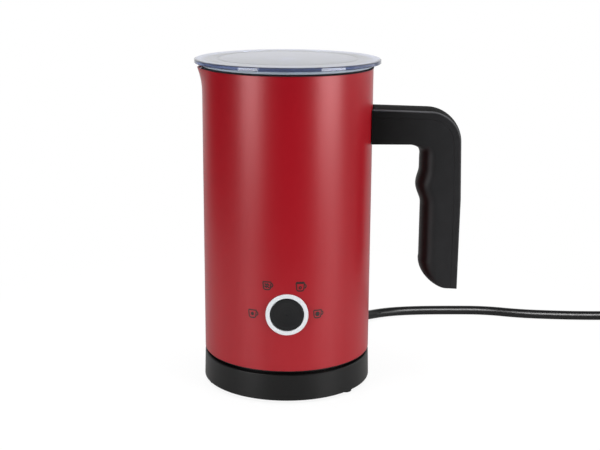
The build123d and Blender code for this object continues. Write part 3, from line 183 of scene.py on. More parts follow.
class FrotherColours(bpy.types.PropertyGroup):
    """Colours of the finishes."""

    lacquer: colour("Lacquer", "Red satin lacquer", (0.262, 0.001, 0.0065))
    black: colour("Black plastic", "Grained black plastic", (0.003, 0.0031, 0.0031))
    grip: colour("Handle plastic", "Satin black plastic of the handle", (0.0112, 0.0112, 0.012))
    # Painted shade: the handle's darker black near the shell and on its rounded faces
    handle_painted_shade: colour("Handle root", "Deeper black at the shell and on the rounded faces",
                        (0.0022, 0.0022, 0.0022))
    # Painted highlight: a lighter colour along the cover's edges, standing in for light caught by their
    # rounding
    handle_edge_highlight: colour("Handle edge", "Polished edges of the handle's cover", (0.05, 0.05, 0.053))
    rubber: colour("Rubber", "Black rubber", (0.008, 0.008, 0.008))
    cord: colour("Cord", "Glossy black sheath of the cord", (0.003, 0.0032, 0.0035))
    clear: colour("Clear plastic", "Skin of the clear plastic", (0.37, 0.42, 0.62))
    clear_depth: colour("Clear depth", "Tint of the clear plastic in its depth", (0.0, 0.13, 0.38))
    frosted: colour("Frosted plastic", "Etched skin of the post under the lid", (0.86, 0.9, 0.95))
    smoky: colour("Smoky plastic", "Etched skin of the foot ring under the lid", (0.34, 0.39, 0.43))
    button: colour("Button", "Black plastic of the button", (0.0036, 0.0039, 0.0045))
    ring: colour("Light ring", "Translucent white plastic", (0.5, 0.515, 0.535))
    steel: colour("Steel", "Brushed stainless steel", (0.62, 0.61, 0.59))
    brass: colour("Brass", "Bare brass", (0.72, 0.5, 0.22))
    board: colour("Circuit board", "Green solder mask", (0.012, 0.09, 0.04))
    pale: colour("Pale plastic", "Uncoloured inner plastic", (0.62, 0.6, 0.55))


class StageSettings(bpy.types.PropertyGroup):
    """Camera and light of the studio."""

    camera_place: FloatVectorProperty(name="Camera place", description="Where the camera stands", size=3,
                                      default=(0, -0.7042, 0.2728), subtype="TRANSLATION", unit="LENGTH")
    camera_lens: amount("Lens", "Focal length in millimetres", 69.83)
    camera_pan: angle("Pan", "Turn of the camera towards the handle", 0.0113)
    camera_pitch: angle("Pitch", "Tilt of the camera below the horizon", 0.2437)
    camera_roll: angle("Roll", "Roll of the camera", 0.0062)
    left_light: amount("Left softbox", "Radiance of the left softbox", 8.8)
    right_light: amount("Right softbox", "Radiance of the right softbox", 9.4)
    fill_light: amount("Fill light", "Radiance of the fill lights above the softboxes", 5.1)
    side_light: amount("Side light", "Radiance of the light beside the handle", 1.0)
    top_light: amount("Top light", "Radiance of the light above the object", 6.5)
    top_glow: amount("Top glow", "Radiance of the light above in reflections", 1.8)
    cord_light: amount("Cord light", "Radiance of the strip that lights the cord", 24)
    room_light: amount("Room light", "Brightness of the room round the object", 0.06)


# Materials


def new_material(name):
    """A new material with its node tree and shader."""
    made = bpy.data.materials.new(name)
    made.use_nodes = True
    return made, made.node_tree, made.node_tree.nodes["Principled BSDF"]


def object_place(tree, scale=(1, 1, 1), shift=(0, 0, 0)):
    """The piece's own coordinates, stretched and shifted."""
    place = tree.nodes.new("ShaderNodeTexCoord")
    mapping = tree.nodes.new("ShaderNodeMapping")
    mapping.inputs["Scale"].default_value = scale
    mapping.inputs["Location"].default_value = shift
    tree.links.new(place.outputs["Object"], mapping.inputs["Vector"])
    return mapping.outputs["Vector"]


def noise(tree, scale, detail=2.0, stretch=(1, 1, 1)):
    """Noise with a given number of grains in a metre."""
    texture = tree.nodes.new("ShaderNodeTexNoise")
    texture.inputs["Scale"].default_value = scale
    texture.inputs["Detail"].default_value = detail
    tree.links.new(object_place(tree, stretch), texture.inputs["Vector"])
    return texture.outputs["Fac"]


def calculated(tree, operation, first, second):
    """Works out one value from two by a named operation."""
    node = tree.nodes.new("ShaderNodeMath")
    node.operation = operation
    for socket, value in zip(node.inputs, (first, second)):
        if isinstance(value, (int, float)):
            socket.default_value = value
        else:
            tree.links.new(value, socket)
    return node.outputs["Value"]


def blended(tree, factor, first, second):
    """Mixes two colours, or outputs that give them, by a factor that may pass 1."""
    mix = tree.nodes.new("ShaderNodeMix")
    mix.data_type = "RGBA"
    mix.clamp_factor = False
    for socket, value in zip((mix.inputs["A"], mix.inputs["B"]), (first, second)):
        if isinstance(value, bpy.types.NodeSocket):
            tree.links.new(value, socket)
        else:
            socket.default_value = (*value, 1)
    tree.links.new(factor, mix.inputs["Factor"])
    return mix.outputs["Result"]


def spread(tree, value, low, high, start=0.25, end=0.75, interpolation="LINEAR"):
    """Maps a part of a value's range, by default the middle of a noise, to another range."""
    mapped = tree.nodes.new("ShaderNodeMapRange")
    mapped.interpolation_type = interpolation
    mapped.inputs["From Min"].default_value = start
    mapped.inputs["From Max"].default_value = end
    mapped.inputs["To Min"].default_value = low
    mapped.inputs["To Max"].default_value = high
    tree.links.new(value, mapped.inputs["Value"])
    return mapped.outputs["Result"]


def shaded(tree, shader, value, base, change):
    """Varies a base colour a little, lighter and darker, with a texture."""
    darker = [channel * (1 - change) for channel in base]
    lighter = [min(channel * (1 + change), 1) for channel in base]
    tree.links.new(blended(tree, value, darker, lighter), shader.inputs["Base Color"])


def roughened(tree, shader, value, low, high):
    """Varies the roughness between two values with a texture."""
    tree.links.new(spread(tree, value, low, high), shader.inputs["Roughness"])


def bumped(tree, shader, value, strength, height):
    """Raises a texture as fine relief of a given height in metres."""
    bump = tree.nodes.new("ShaderNodeBump")
    bump.inputs["Strength"].default_value = strength
    bump.inputs["Distance"].default_value = height
    tree.links.new(value, bump.inputs["Height"])
    tree.links.new(bump.outputs["Normal"], shader.inputs["Normal"])


def grained(name, base, roughness, grains, relief, change=0.12, specular=0.4, metallic=0.0,
            stretch=(1, 1, 1)):
    """A finish with fine grain: its colour, gloss and relief all vary with the grain."""
    made, tree, shader = new_material(name)
    grain = noise(tree, grains, 3.0, stretch)
    shaded(tree, shader, noise(tree, grains / 40, 2.0), base, change)
    roughened(tree, shader, grain, roughness - 0.05, roughness + 0.05)
    bumped(tree, shader, grain, strength=0.35, height=relief)
    shader.inputs["Specular IOR Level"].default_value = specular
    shader.inputs["Metallic"].default_value = metallic
    return made


def bare_metal(name, base, roughness, grains, relief, change, stretch=(1, 1, 1)):
    """A bare metal with fine grain."""
    return grained(name, base, roughness, grains, relief, change, 0.5, 1.0, stretch)


def finish(name):
    """The material of one finish, made when it is first asked for."""
    return bpy.data.materials.get(name) or FINISHES[name](name, bpy.context.scene.frother_colours)


def red_lacquer(name, colours):
    """Satin lacquer on steel, with a faint orange peel."""
    made, tree, shader = new_material(name)
    shaded(tree, shader, noise(tree, 30, 3.0), colours.lacquer, 0.03)
    peel = noise(tree, 1600, 2.0)
    roughened(tree, shader, peel, 0.31, 0.37)
    bumped(tree, shader, peel, strength=0.12, height=0.00002)
    shader.inputs["Metallic"].default_value = 0.1
    return made


def clear_plastic(name, colours):
    """Clear, slightly smoky plastic with a polished skin."""
    made, tree, shader = new_material(name)
    haze = noise(tree, 2600, 3.0)
    shaded(tree, shader, noise(tree, 60, 2.0), colours.clear, 0.03)
    roughened(tree, shader, haze, 0.04, 0.08)
    shader.inputs["Transmission Weight"].default_value = 0.96
    shader.inputs["IOR"].default_value = 1.49
    depth = tree.nodes.new("ShaderNodeVolumeAbsorption")
    depth.inputs["Color"].default_value = (*colours.clear_depth, 1)
    depth.inputs["Density"].default_value = 9
    tree.links.new(depth.outputs["Volume"], tree.nodes["Material Output"].inputs["Volume"])
    return made


def etched_plastic(name, base):
    """Clear plastic with an etched, milky skin."""
    made, tree, shader = new_material(name)
    etched = noise(tree, 2400, 3.0)
    shaded(tree, shader, etched, base, 0.04)
    roughened(tree, shader, etched, 0.45, 0.6)
    bumped(tree, shader, etched, strength=0.3, height=0.00003)
    shader.inputs["Transmission Weight"].default_value = 0.15
    shader.inputs["IOR"].default_value = 1.49
    return made


def button_plastic(name, colours):
    """Black plastic with turned rings round the button's middle."""
    made, tree, shader = new_material(name)
    rings = tree.nodes.new("ShaderNodeTexWave")
    rings.wave_type = "RINGS"
    rings.rings_direction = "Y"
    rings.inputs["Scale"].default_value = 190
    rings.inputs["Distortion"].default_value = 0
    tree.links.new(object_place(tree, shift=-FRONT_CENTRE), rings.inputs["Vector"])
    shaded(tree, shader, noise(tree, 900, 2.0), colours.button, 0.2)
    bumped(tree, shader, rings.outputs["Fac"], strength=0.5, height=0.00006)
    roughened(tree, shader, noise(tree, 2500), 0.4, 0.5)
    shader.inputs["Specular IOR Level"].default_value = 0.4
    return made


def satin_handle(name, colours, edge, dullness):
    """Satin black plastic with painted shade and highlight: darker black near the shell and on the rounded
    faces, and an edge colour between them and the flanks, which on the strap is a painted highlight.
    """
    made, tree, shader = new_material(name)
    half = handle_high.y
    edge_start, edge_end = half - 2.6 * MM, half - 1.6 * MM
    flank_start, flank_end = half - 0.7 * MM, half - 0.2 * MM
    shade_end = handle_high.x - 10 * MM
    place = tree.nodes.new("ShaderNodeSeparateXYZ")
    tree.links.new(object_place(tree), place.inputs["Vector"])
    side = calculated(tree, "ABSOLUTE", place.outputs["Y"], 0)
    # Painted shade: the flanks turn darker towards the shell, where the shell keeps light off the handle
    reach = spread(tree, place.outputs["X"], 0, 1, shell_high.x, shade_end)
    flank_shade = blended(tree, reach, colours.handle_painted_shade, colours.grip)
    # Painted shade on the rounded faces and the middle of the strap, turning near each flank to the edge
    # colour; on the strap that colour is a painted highlight, on the grip the grip's own colour
    rounded = blended(tree, spread(tree, side, 0, 1, edge_start, edge_end), colours.handle_painted_shade, edge)
    on_flank = spread(tree, side, 0, 1, flank_start, flank_end)
    base = blended(tree, on_flank, rounded, flank_shade)
    grain = noise(tree, 3200, 3.0)
    dull = calculated(tree, "MULTIPLY", calculated(tree, "SUBTRACT", 1, on_flank), dullness)
    worn = spread(tree, noise(tree, 80, 2.0), 0.88, 1.12)
    tree.links.new(blended(tree, worn, (0, 0, 0), base), shader.inputs["Base Color"])
    roughness = calculated(tree, "ADD", dull, spread(tree, grain, 0.43, 0.53))
    tree.links.new(roughness, shader.inputs["Roughness"])
    bumped(tree, shader, grain, strength=0.35, height=0.00003)
    shader.inputs["Specular IOR Level"].default_value = 0.2
    return made


def lit_ring(name, colours):
    """Translucent white plastic of the light ring."""
    made, tree, shader = new_material(name)
    shaded(tree, shader, noise(tree, 500, 2.0), colours.ring, 0.03)
    roughened(tree, shader, noise(tree, 1800), 0.25, 0.35)
    return made


FINISHES = {
    "red_lacquer": red_lacquer,
    "clear_plastic": clear_plastic,
    "frosted_plastic": lambda name, c: etched_plastic(name, c.frosted),
    "smoky_plastic": lambda name, c: etched_plastic(name, c.smoky),
    "button_plastic": button_plastic,
    "lit_ring": lit_ring,
    "grained_black": lambda name, c: grained(name, c.black, 0.37, 2600, 0.00002, specular=0.32),
    "handle_plastic": lambda name, c: satin_handle(name, c, c.grip, 0),
    # The strap's edge colour is a painted highlight
    "strap_plastic": lambda name, c: satin_handle(name, c, c.handle_edge_highlight, 0.3),
    "soft_rubber": lambda name, c: grained(name, c.rubber, 0.62, 1800, 0.00005, specular=0.3),
    "cord_sheath": lambda name, c: grained(name, c.cord, 0.34, 700, 0.00002, specular=0.35),
    "printed_ink": lambda name, c: grained(name, c.rubber, 0.5, 4000, 0.00001),
    "brushed_steel": lambda name, c: bare_metal(name, c.steel, 0.3, 900, 0.00001, 0.06, (0.05, 0.05, 6)),
    "bright_steel": lambda name, c: bare_metal(name, c.steel, 0.2, 1500, 0.00001, 0.05),
    "cast_aluminium": lambda name, c: bare_metal(name, c.steel, 0.45, 1200, 0.00004, 0.08),
    "bare_brass": lambda name, c: bare_metal(name, c.brass, 0.28, 1400, 0.00001, 0.06),
    "pale_plastic": lambda name, c: grained(name, c.pale, 0.5, 2000, 0.00003),
    "solder_mask": lambda name, c: grained(name, c.board, 0.4, 800, 0.00004, 0.3),
}


# Shapes


def turned(outline, closed=True, steps=AROUND):
    """Spins an outline of (radius, height) points round the upright axis."""
    shape = bmesh.new()
    corners = [shape.verts.new((radius, 0, height)) for radius, height in outline]
    pairs = list(zip(corners, corners[1:]))
    if closed:
        pairs.append((corners[-1], corners[0]))
    edges = [shape.edges.new(pair) for pair in pairs]
    bmesh.ops.spin(shape, geom=corners + edges, cent=(0, 0, 0), axis=(0, 0, 1), dvec=(0, 0, 0),
                   angle=2 * pi, steps=steps, use_merge=True, use_duplicate=False)
    bmesh.ops.remove_doubles(shape, verts=shape.verts, dist=NEAR / 10)
    bmesh.ops.recalc_face_normals(shape, faces=shape.faces)
    return shape


def bevelled(shape, parts, width, segments, affect="EDGES"):
    """Rounds edges or corners of a shape."""
    bmesh.ops.bevel(shape, geom=parts, offset=width, offset_type="OFFSET", segments=segments, profile=0.5,
                    affect=affect, clamp_overlap=affect == "EDGES", material=-1)


def corners_in(parts):
    """The vertices among the parts that an operation gives back."""
    return [part for part in parts if isinstance(part, bmesh.types.BMVert)]


def round_rings(shape, width, segments, *places):
    """Rounds the circular edges of a turned shape at given (radius, height) places."""

    def lies_at(vertex, radius, height):
        return abs(hypot(vertex.co.x, vertex.co.y) - radius) < NEAR and abs(vertex.co.z - height) < NEAR

    edges = [
        edge
        for edge in shape.edges
        if any(all(lies_at(vertex, *place) for vertex in edge.verts) for place in places)
    ]
    if not edges:
        raise ValueError(f"no edge to round at {places}")
    bevelled(shape, edges, width, segments)


def mesh_of(name, shape):
    """The mesh of a shape, which is used up."""
    mesh = bpy.data.meshes.new(name)
    shape.to_mesh(mesh)
    shape.free()
    return mesh


def added(name, data):
    """A new object in the scene."""
    made = bpy.data.objects.new(name, data)
    bpy.context.scene.collection.objects.link(made)
    return made


def finished(name, shape, body, material, slot, *nodes):
    """Makes a shape a piece that rides on a body, wears a finish and stands for CAD nodes."""
    return placed(name, mesh_of(name, shape), body, material, slot, *nodes)


def placed(name, mesh, body, material, slot, *nodes):
    """Makes a mesh a piece that rides on a body, wears a finish and stands for CAD nodes."""
    mesh.name = name
    mesh.shade_smooth()
    mesh.set_sharp_from_angle(angle=radians(32))
    mesh.materials.clear()
    mesh.materials.append(finish(material))
    piece = added(name, mesh)
    flat_faces = piece.modifiers.new("Flat faces", "WEIGHTED_NORMAL")
    flat_faces.keep_sharp = True
    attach(piece, body)
    if nodes:
        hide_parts(*nodes)
    return piece


def dress(material, *names):
    """Gives CAD nodes a finish."""
    for name in names:
        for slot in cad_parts[name].material_slots:
            slot.material = finish(material)


def cut_mesh(shape, *tools):
    """The mesh of a shape that is cut to or by tools in turn."""
    body = added("cut_body", mesh_of("cut_body", shape))
    cutters = []
    for operation, tool in tools:
        cutters.append(added("cut_tool", mesh_of("cut_tool", tool)))
        cut = body.modifiers.new("Cut", "BOOLEAN")
        cut.operation = operation
        cut.solver = "EXACT"
        cut.object = cutters[-1]
    mesh = bpy.data.meshes.new_from_object(body.evaluated_get(bpy.context.evaluated_depsgraph_get()))
    for made in (body, *cutters):
        bpy.data.meshes.remove(made.data)
    if not mesh.polygons:
        raise ValueError("a cut left nothing")
    return mesh


def press_lip(shape, sizes):
    """Presses the pouring lip into a turned wall, on the side away from the handle."""
    body_radius = shell_high.y
    lip_reach = -shell_low.x - body_radius
    start = shell_high.z - sizes.lip_height
    rise = lip_reach + sizes.lip_sink
    bend = (rise**2 + sizes.lip_height**2) / (2 * rise)
    centre = body_radius + lip_reach - sizes.lip_nose
    for vertex in shape.verts:
        radius = hypot(vertex.co.x, vertex.co.y)
        if vertex.co.z < start or radius < NEAR:
            continue
        inset = body_radius - radius
        flare = bend - sqrt(bend**2 - (vertex.co.z - start) ** 2)
        nose = sizes.lip_nose - rise + flare - inset
        along = -centre * vertex.co.x / radius
        lip = along + sqrt(along**2 + nose**2 - centre**2)
        pressed = (radius + lip + sqrt((radius - lip) ** 2 + sizes.lip_blend**2 * flare / rise)) / 2
        vertex.co.xy *= pressed / radius


# Pieces


class FROTHER_OT_shell(bpy.types.Operator):
    """Makes the red shell with its pouring lip and the hole for the button"""

    bl_idname = "frother.shell"
    bl_label = "Red shell"

    def execute(self, context):
        sizes = context.scene.frother_sizes
        outer = shell_high.y
        inner = outer - sizes.shell_wall
        low, high = shell_low.z, shell_high.z
        rows = 44
        heights = [low + (high - low) * row / rows for row in range(rows + 1)]
        outline = [(outer, height) for height in heights]
        outline += [(inner, height) for height in reversed(heights)]
        shape = turned(outline)
        round_rings(shape, sizes.rim_round, 3, (outer, high), (inner, high), (outer, low))
        press_lip(shape, sizes)
        cutter = bmesh.new()
        depth = 10 * MM
        turn = Matrix.Translation(FRONT_CENTRE - Vector((0, outer, 0))) @ Matrix.Rotation(pi / 2, 4, "X")
        bmesh.ops.create_cone(cutter, cap_ends=True, segments=96, radius1=sizes.button_hole,
                              radius2=sizes.button_hole, depth=2 * depth, matrix=turn)
        mesh = cut_mesh(shape, ("DIFFERENCE", cutter))
        placed("red_shell", mesh, "jug", "red_lacquer", "red_paint", "outer_shell")
        return {"FINISHED"}


class FROTHER_OT_pot(bpy.types.Operator):
    """Makes the steel pot inside the shell"""

    bl_idname = "frother.pot"
    bl_label = "Inner pot"

    def execute(self, context):
        sizes = context.scene.frother_sizes
        radius, mouth = sizes.pot_radius, pot_high.y
        bore, mouth_bore = radius - sizes.pot_wall, mouth - sizes.pot_wall
        low, high = pot_low.z, pot_high.z - sizes.pot_drop
        floor = low + sizes.pot_wall
        cone_top = pot_high.z - sizes.pot_mouth
        cone_low = cone_top - sizes.pot_cone
        rows = 12
        lip_rows = [cone_top + (high - cone_top) * row / rows for row in range(1, rows + 1)]
        outline = [(0, low), (radius, low), (radius, cone_low), (mouth, cone_top)]
        outline += [(mouth, height) for height in lip_rows]
        outline += [(mouth_bore, height) for height in reversed(lip_rows)]
        outline += [(mouth_bore, cone_top), (bore, cone_low), (bore, floor), (0, floor)]
        shape = turned(outline, closed=False)
        round_rings(shape, sizes.pot_corner, 8, (radius, low))
        round_rings(shape, sizes.pot_corner - sizes.pot_wall, 8, (bore, floor))
        round_rings(shape, sizes.pot_cone_round, 4, (radius, cone_low), (mouth, cone_top), (bore, cone_low),
                    (mouth_bore, cone_top))
        round_rings(shape, sizes.rim_round, 3, (mouth, high), (mouth_bore, high))
        press_lip(shape, sizes)
        finished("steel_pot", shape, "jug", "brushed_steel", "steel", "inner_pot")
        dress("bright_steel", "whisk_pin")
        return {"FINISHED"}


class FROTHER_OT_lid(bpy.types.Operator):
    """Makes the clear lid with its foot ring, its post and its seal"""

    bl_idname = "frother.lid"
    bl_label = "Lid"

    def execute(self, context):
        sizes = context.scene.frother_sizes
        edge, top = lid_high.x, lid_high.z + sizes.lid_rise
        under = lid_high.z - sizes.lid_thickness
        skirt_outer, skirt_inner = sizes.lid_skirt, sizes.lid_skirt - sizes.lid_skirt_wall
        skirt_low = under - sizes.lid_skirt_height
        rib_outer = sizes.lid_rib + sizes.lid_rib_width / 2
        rib_inner = rib_outer - sizes.lid_rib_width
        rib_low = under - sizes.lid_rib_height
        rim_low = top - sizes.lid_rim
        foot = sizes.foot_inner
        groove, groove_half = sizes.lid_groove, sizes.lid_groove_width / 2
        turns = [pi / 2 * step / ROUND_STEPS for step in range(ROUND_STEPS + 1)]
        border = [(edge - sizes.lid_border * (1 - sin(turn)), top - sizes.lid_round * (1 - cos(turn)))
                  for turn in turns]
        outline = [
            (0, top), (groove - groove_half, top), (groove, top - sizes.lid_groove_depth),
            (groove + groove_half, top), *border, (edge, rim_low), (foot, rim_low), (foot, under),
            (skirt_outer, under), (skirt_outer, skirt_low), (skirt_inner, skirt_low), (skirt_inner, under),
            (rib_outer, under), (rib_outer, rib_low), (rib_inner, rib_low), (rib_inner, under), (0, under),
        ]
        shape = turned(outline, closed=False)
        round_rings(shape, sizes.lid_low_round, 4, (edge, rim_low))
        round_rings(shape, sizes.lid_under_round, 3, (skirt_outer, skirt_low), (skirt_inner, skirt_low),
                    (rib_outer, rib_low), (rib_inner, rib_low))
        finished("clear_lid", shape, "lid", "clear_plastic", "clear_lid", "lid_cover")
        self.add_foot(sizes, under - sizes.foot_low, rim_low - NEAR)
        self.add_post(sizes, lid_low.z, under - NEAR)
        self.add_seal(sizes, under)
        return {"FINISHED"}

    def add_foot(self, sizes, low, high):
        """The smoky ring under the lid's rim, which keeps it off the shell."""
        inner, outer = sizes.foot_inner + NEAR, sizes.foot_outer
        shape = turned([(inner, low), (outer, low), (outer, high), (inner, high)])
        round_rings(shape, sizes.foot_round, 3, (inner, low), (outer, low))
        finished("lid_foot", shape, "lid", "smoky_plastic", "clear_lid")

    def add_post(self, sizes, low, high):
        """The frosted post under the middle of the lid."""
        post = sizes.lid_post
        shape = turned([(0, high), (post, high), (post, low), (0, low)], closed=False, steps=48)
        round_rings(shape, sizes.post_round, 4, (post, low))
        finished("holder_post", shape, "lid", "frosted_plastic", "clear_lid")

    def add_seal(self, sizes, under):
        """The rubber seal round the skirt: lips in the pot's mouth and a flange on the rim."""
        inner = sizes.lid_skirt + 5 * NEAR
        wall, lip_edge, flange = sizes.seal_wall, sizes.seal_lip, sizes.seal_flange
        rim, low, high = shell_high.z + NEAR, seal_low.z, under - NEAR
        lips, lip_start, lip_end = 3, 0.45, 0.8
        pitch = (rim - low) / lips
        outline = [(inner, low)]
        for lip in range(lips):
            start = low + lip * pitch
            outline += [(wall, start), (lip_edge, start + lip_start * pitch),
                        (wall, start + lip_end * pitch)]
        # The flange is the seal's own, widened past the shell's rim so that its black rubber also stands in
        # for the shadow line under the lid
        edge = rim + sizes.seal_flange_height
        throat = sizes.foot_inner - NEAR
        outline += [(wall, rim), (flange, rim), (flange, edge), (throat, edge),
                    (throat, high), (inner, high)]
        shape = turned(outline)
        round_rings(shape, sizes.flange_round, 3, (flange, rim), (flange, edge))
        finished("rubber_seal", shape, "lid", "soft_rubber", "black_rubber", "lid_seal")


class FROTHER_OT_button(bpy.types.Operator):
    """Finishes the light ring and the button"""

    bl_idname = "frother.button"
    bl_label = "Button and light ring"

    def execute(self, context):
        dress("lit_ring", "light_ring")
        dress("button_plastic", "button_cap")
        dress("pale_plastic", "button_housing")
        return {"FINISHED"}


def tube_curve(name, radius, resolution=2):
    """A curve that is drawn as a round tube."""
    curve = bpy.data.curves.new(name, "CURVE")
    curve.dimensions = "3D"
    curve.bevel_depth = radius
    curve.bevel_resolution = resolution
    curve.use_fill_caps = True
    return curve


def add_smooth_line(curve, points):
    """Adds a smooth line to a curve, with the given points as its control points."""
    spline = curve.splines.new("NURBS")
    spline.points.add(len(points) - 1)
    for point, place in zip(spline.points, points):
        point.co = (*place, 1)
    spline.order_u = 3
    spline.use_endpoint_u = True


def curve_mesh(curve):
    """The mesh of a curve, which is removed."""
    made = added(curve.name, curve)
    mesh = bpy.data.meshes.new_from_object(made.evaluated_get(bpy.context.evaluated_depsgraph_get()))
    bpy.data.curves.remove(curve)
    shape = bmesh.new()
    shape.from_mesh(mesh)
    bmesh.ops.remove_doubles(shape, verts=shape.verts, dist=NEAR / 10)
    bmesh.ops.recalc_face_normals(shape, faces=shape.faces)
    shape.to_mesh(mesh)
    shape.free()
    return mesh


def stroke_mesh(strokes, width):
    """The mesh of round-ended lines through flat points given in millimetres."""
    curve = tube_curve("strokes", width / 2, 1)
    for points in strokes:
        spline = curve.splines.new("POLY")
        spline.points.add(len(points) - 1)
        for point, (across, up) in zip(spline.points, points):
            point.co = (across * MM, up * MM, 0, 1)
    return curve_mesh(curve)


def arc(centre, radius, start, end, steps=14):
    """Points of a flat arc between two angles in degrees."""
    turns = [radians(start + (end - start) * step / steps) for step in range(steps + 1)]
    return [(centre[0] + radius * cos(turn), centre[1] + radius * sin(turn)) for turn in turns]


def line(start, end, steps=12):
    """Points of a flat straight line, close enough to follow the round of the shell."""
    return [(start[0] + (end[0] - start[0]) * step / steps, start[1] + (end[1] - start[1]) * step / steps)
            for step in range(steps + 1)]


def cup_strokes():
    """A plain cup with a handle."""
    side, rim, foot, corner = 2.45, 1.9, -2.8, 1.4
    left, right = -side + corner + 0.3, side - corner - 0.3
    bowl = [
        (-side, rim), *arc((left, foot + corner), corner, 185, 270, 6),
        *line((left, foot), (right, foot), 4), *arc((right, foot + corner), corner, 270, 355, 6),
        *line((side, rim), (-side, rim)),
    ]
    return [bowl, arc((side - 0.1, 0.0), 1.15, 80, -80)]


def star_strokes():
    """Three crossing lines for cold."""
    middle, reach = -0.4, 1.15
    turns = (pi / 2, pi / 6, -pi / 6)
    return [line((reach * cos(turn), middle + reach * sin(turn)),
                 (-reach * cos(turn), middle - reach * sin(turn))) for turn in turns]


def wave_strokes():
    """Two waves for milk."""
    half, swing, steps = 1.4, 0.4, 16
    return [[(-half + 2 * half * step / steps, level + swing * sin(4 * pi * step / steps))
             for step in range(steps + 1)] for level in (0.3, -1.1)]


def foam_strokes():
    """A crown of bubbles above one bubble for froth."""
    pitch, level, bubble = 1.6, 1.7, 0.85
    crown = [arc((across, level), bubble, 0, 180) for across in (-pitch, 0, pitch)]
    return [*crown, arc((0, -0.8), 0.65, 0, 360)]


def dot_strokes():
    """A ring and a dot for dense froth."""
    middle, ring, dot = (0, -0.4), 1.1, 0.4
    return [arc(middle, ring, 0, 360, 20), arc(middle, dot, 0, 360, 10)]


class FROTHER_OT_icons(bpy.types.Operator):
    """Prints the four plain cup signs round the button"""

    bl_idname = "frother.icons"
    bl_label = "Printed signs"

    def execute(self, context):
        sizes = context.scene.frother_sizes
        radius = shell_high.y
        # Each sign's place across the front and above the floor, in millimetres, and the mark in its cup
        signs = {
            "sign_cold": (-21.0, 55.8, star_strokes),
            "sign_milk": (-11.9, 73.9, wave_strokes),
            "sign_froth": (7.8, 73.3, foam_strokes),
            "sign_dense": (18.5, 56.0, dot_strokes),
        }
        for name, (across, height, mark) in signs.items():
            mesh = stroke_mesh(cup_strokes() + mark(), sizes.icon_stroke)
            flatten = 2 * sizes.ink_height / sizes.icon_stroke
            for vertex in mesh.vertices:
                turn = (vertex.co.x + across * MM) / radius
                out = radius + vertex.co.z * flatten
                vertex.co = (out * sin(turn), -out * cos(turn), vertex.co.y + height * MM)
            placed(name, mesh, "jug", "printed_ink", "black_plastic")
        return {"FINISHED"}


def side_view(corners, side):
    """A flat outline in the handle's plane at one side of it, given as (x, z, rounding) corners."""
    shape = bmesh.new()
    shape.faces.new([shape.verts.new((across, side, up)) for across, up, _ in corners])
    for across, up, rounding in corners:
        if rounding:
            place = Vector((across, side, up))
            corner = min(shape.verts, key=lambda vertex: (vertex.co - place).length)
            bevelled(shape, [corner], rounding, 16, "VERTICES")
    return shape


def widen(shape, *widths):
    """Extrudes a flat outline along the handle's width in steps and closes it."""
    front = shape.faces[:]
    for width in widths:
        edges = {edge for face in front for edge in face.edges}
        grown = bmesh.ops.extrude_face_region(shape, geom=[*front, *edges])["geom"]
        moved = corners_in(grown)
        front = [part for part in grown if isinstance(part, bmesh.types.BMFace)]
        bmesh.ops.translate(shape, verts=moved, vec=(0, width, 0))
    bmesh.ops.recalc_face_normals(shape, faces=shape.faces)
    return shape


def smooth_step(value):
    """Eases a value from 0 to 1."""
    value = min(max(value, 0), 1)
    return value**2 * (3 - 2 * value)


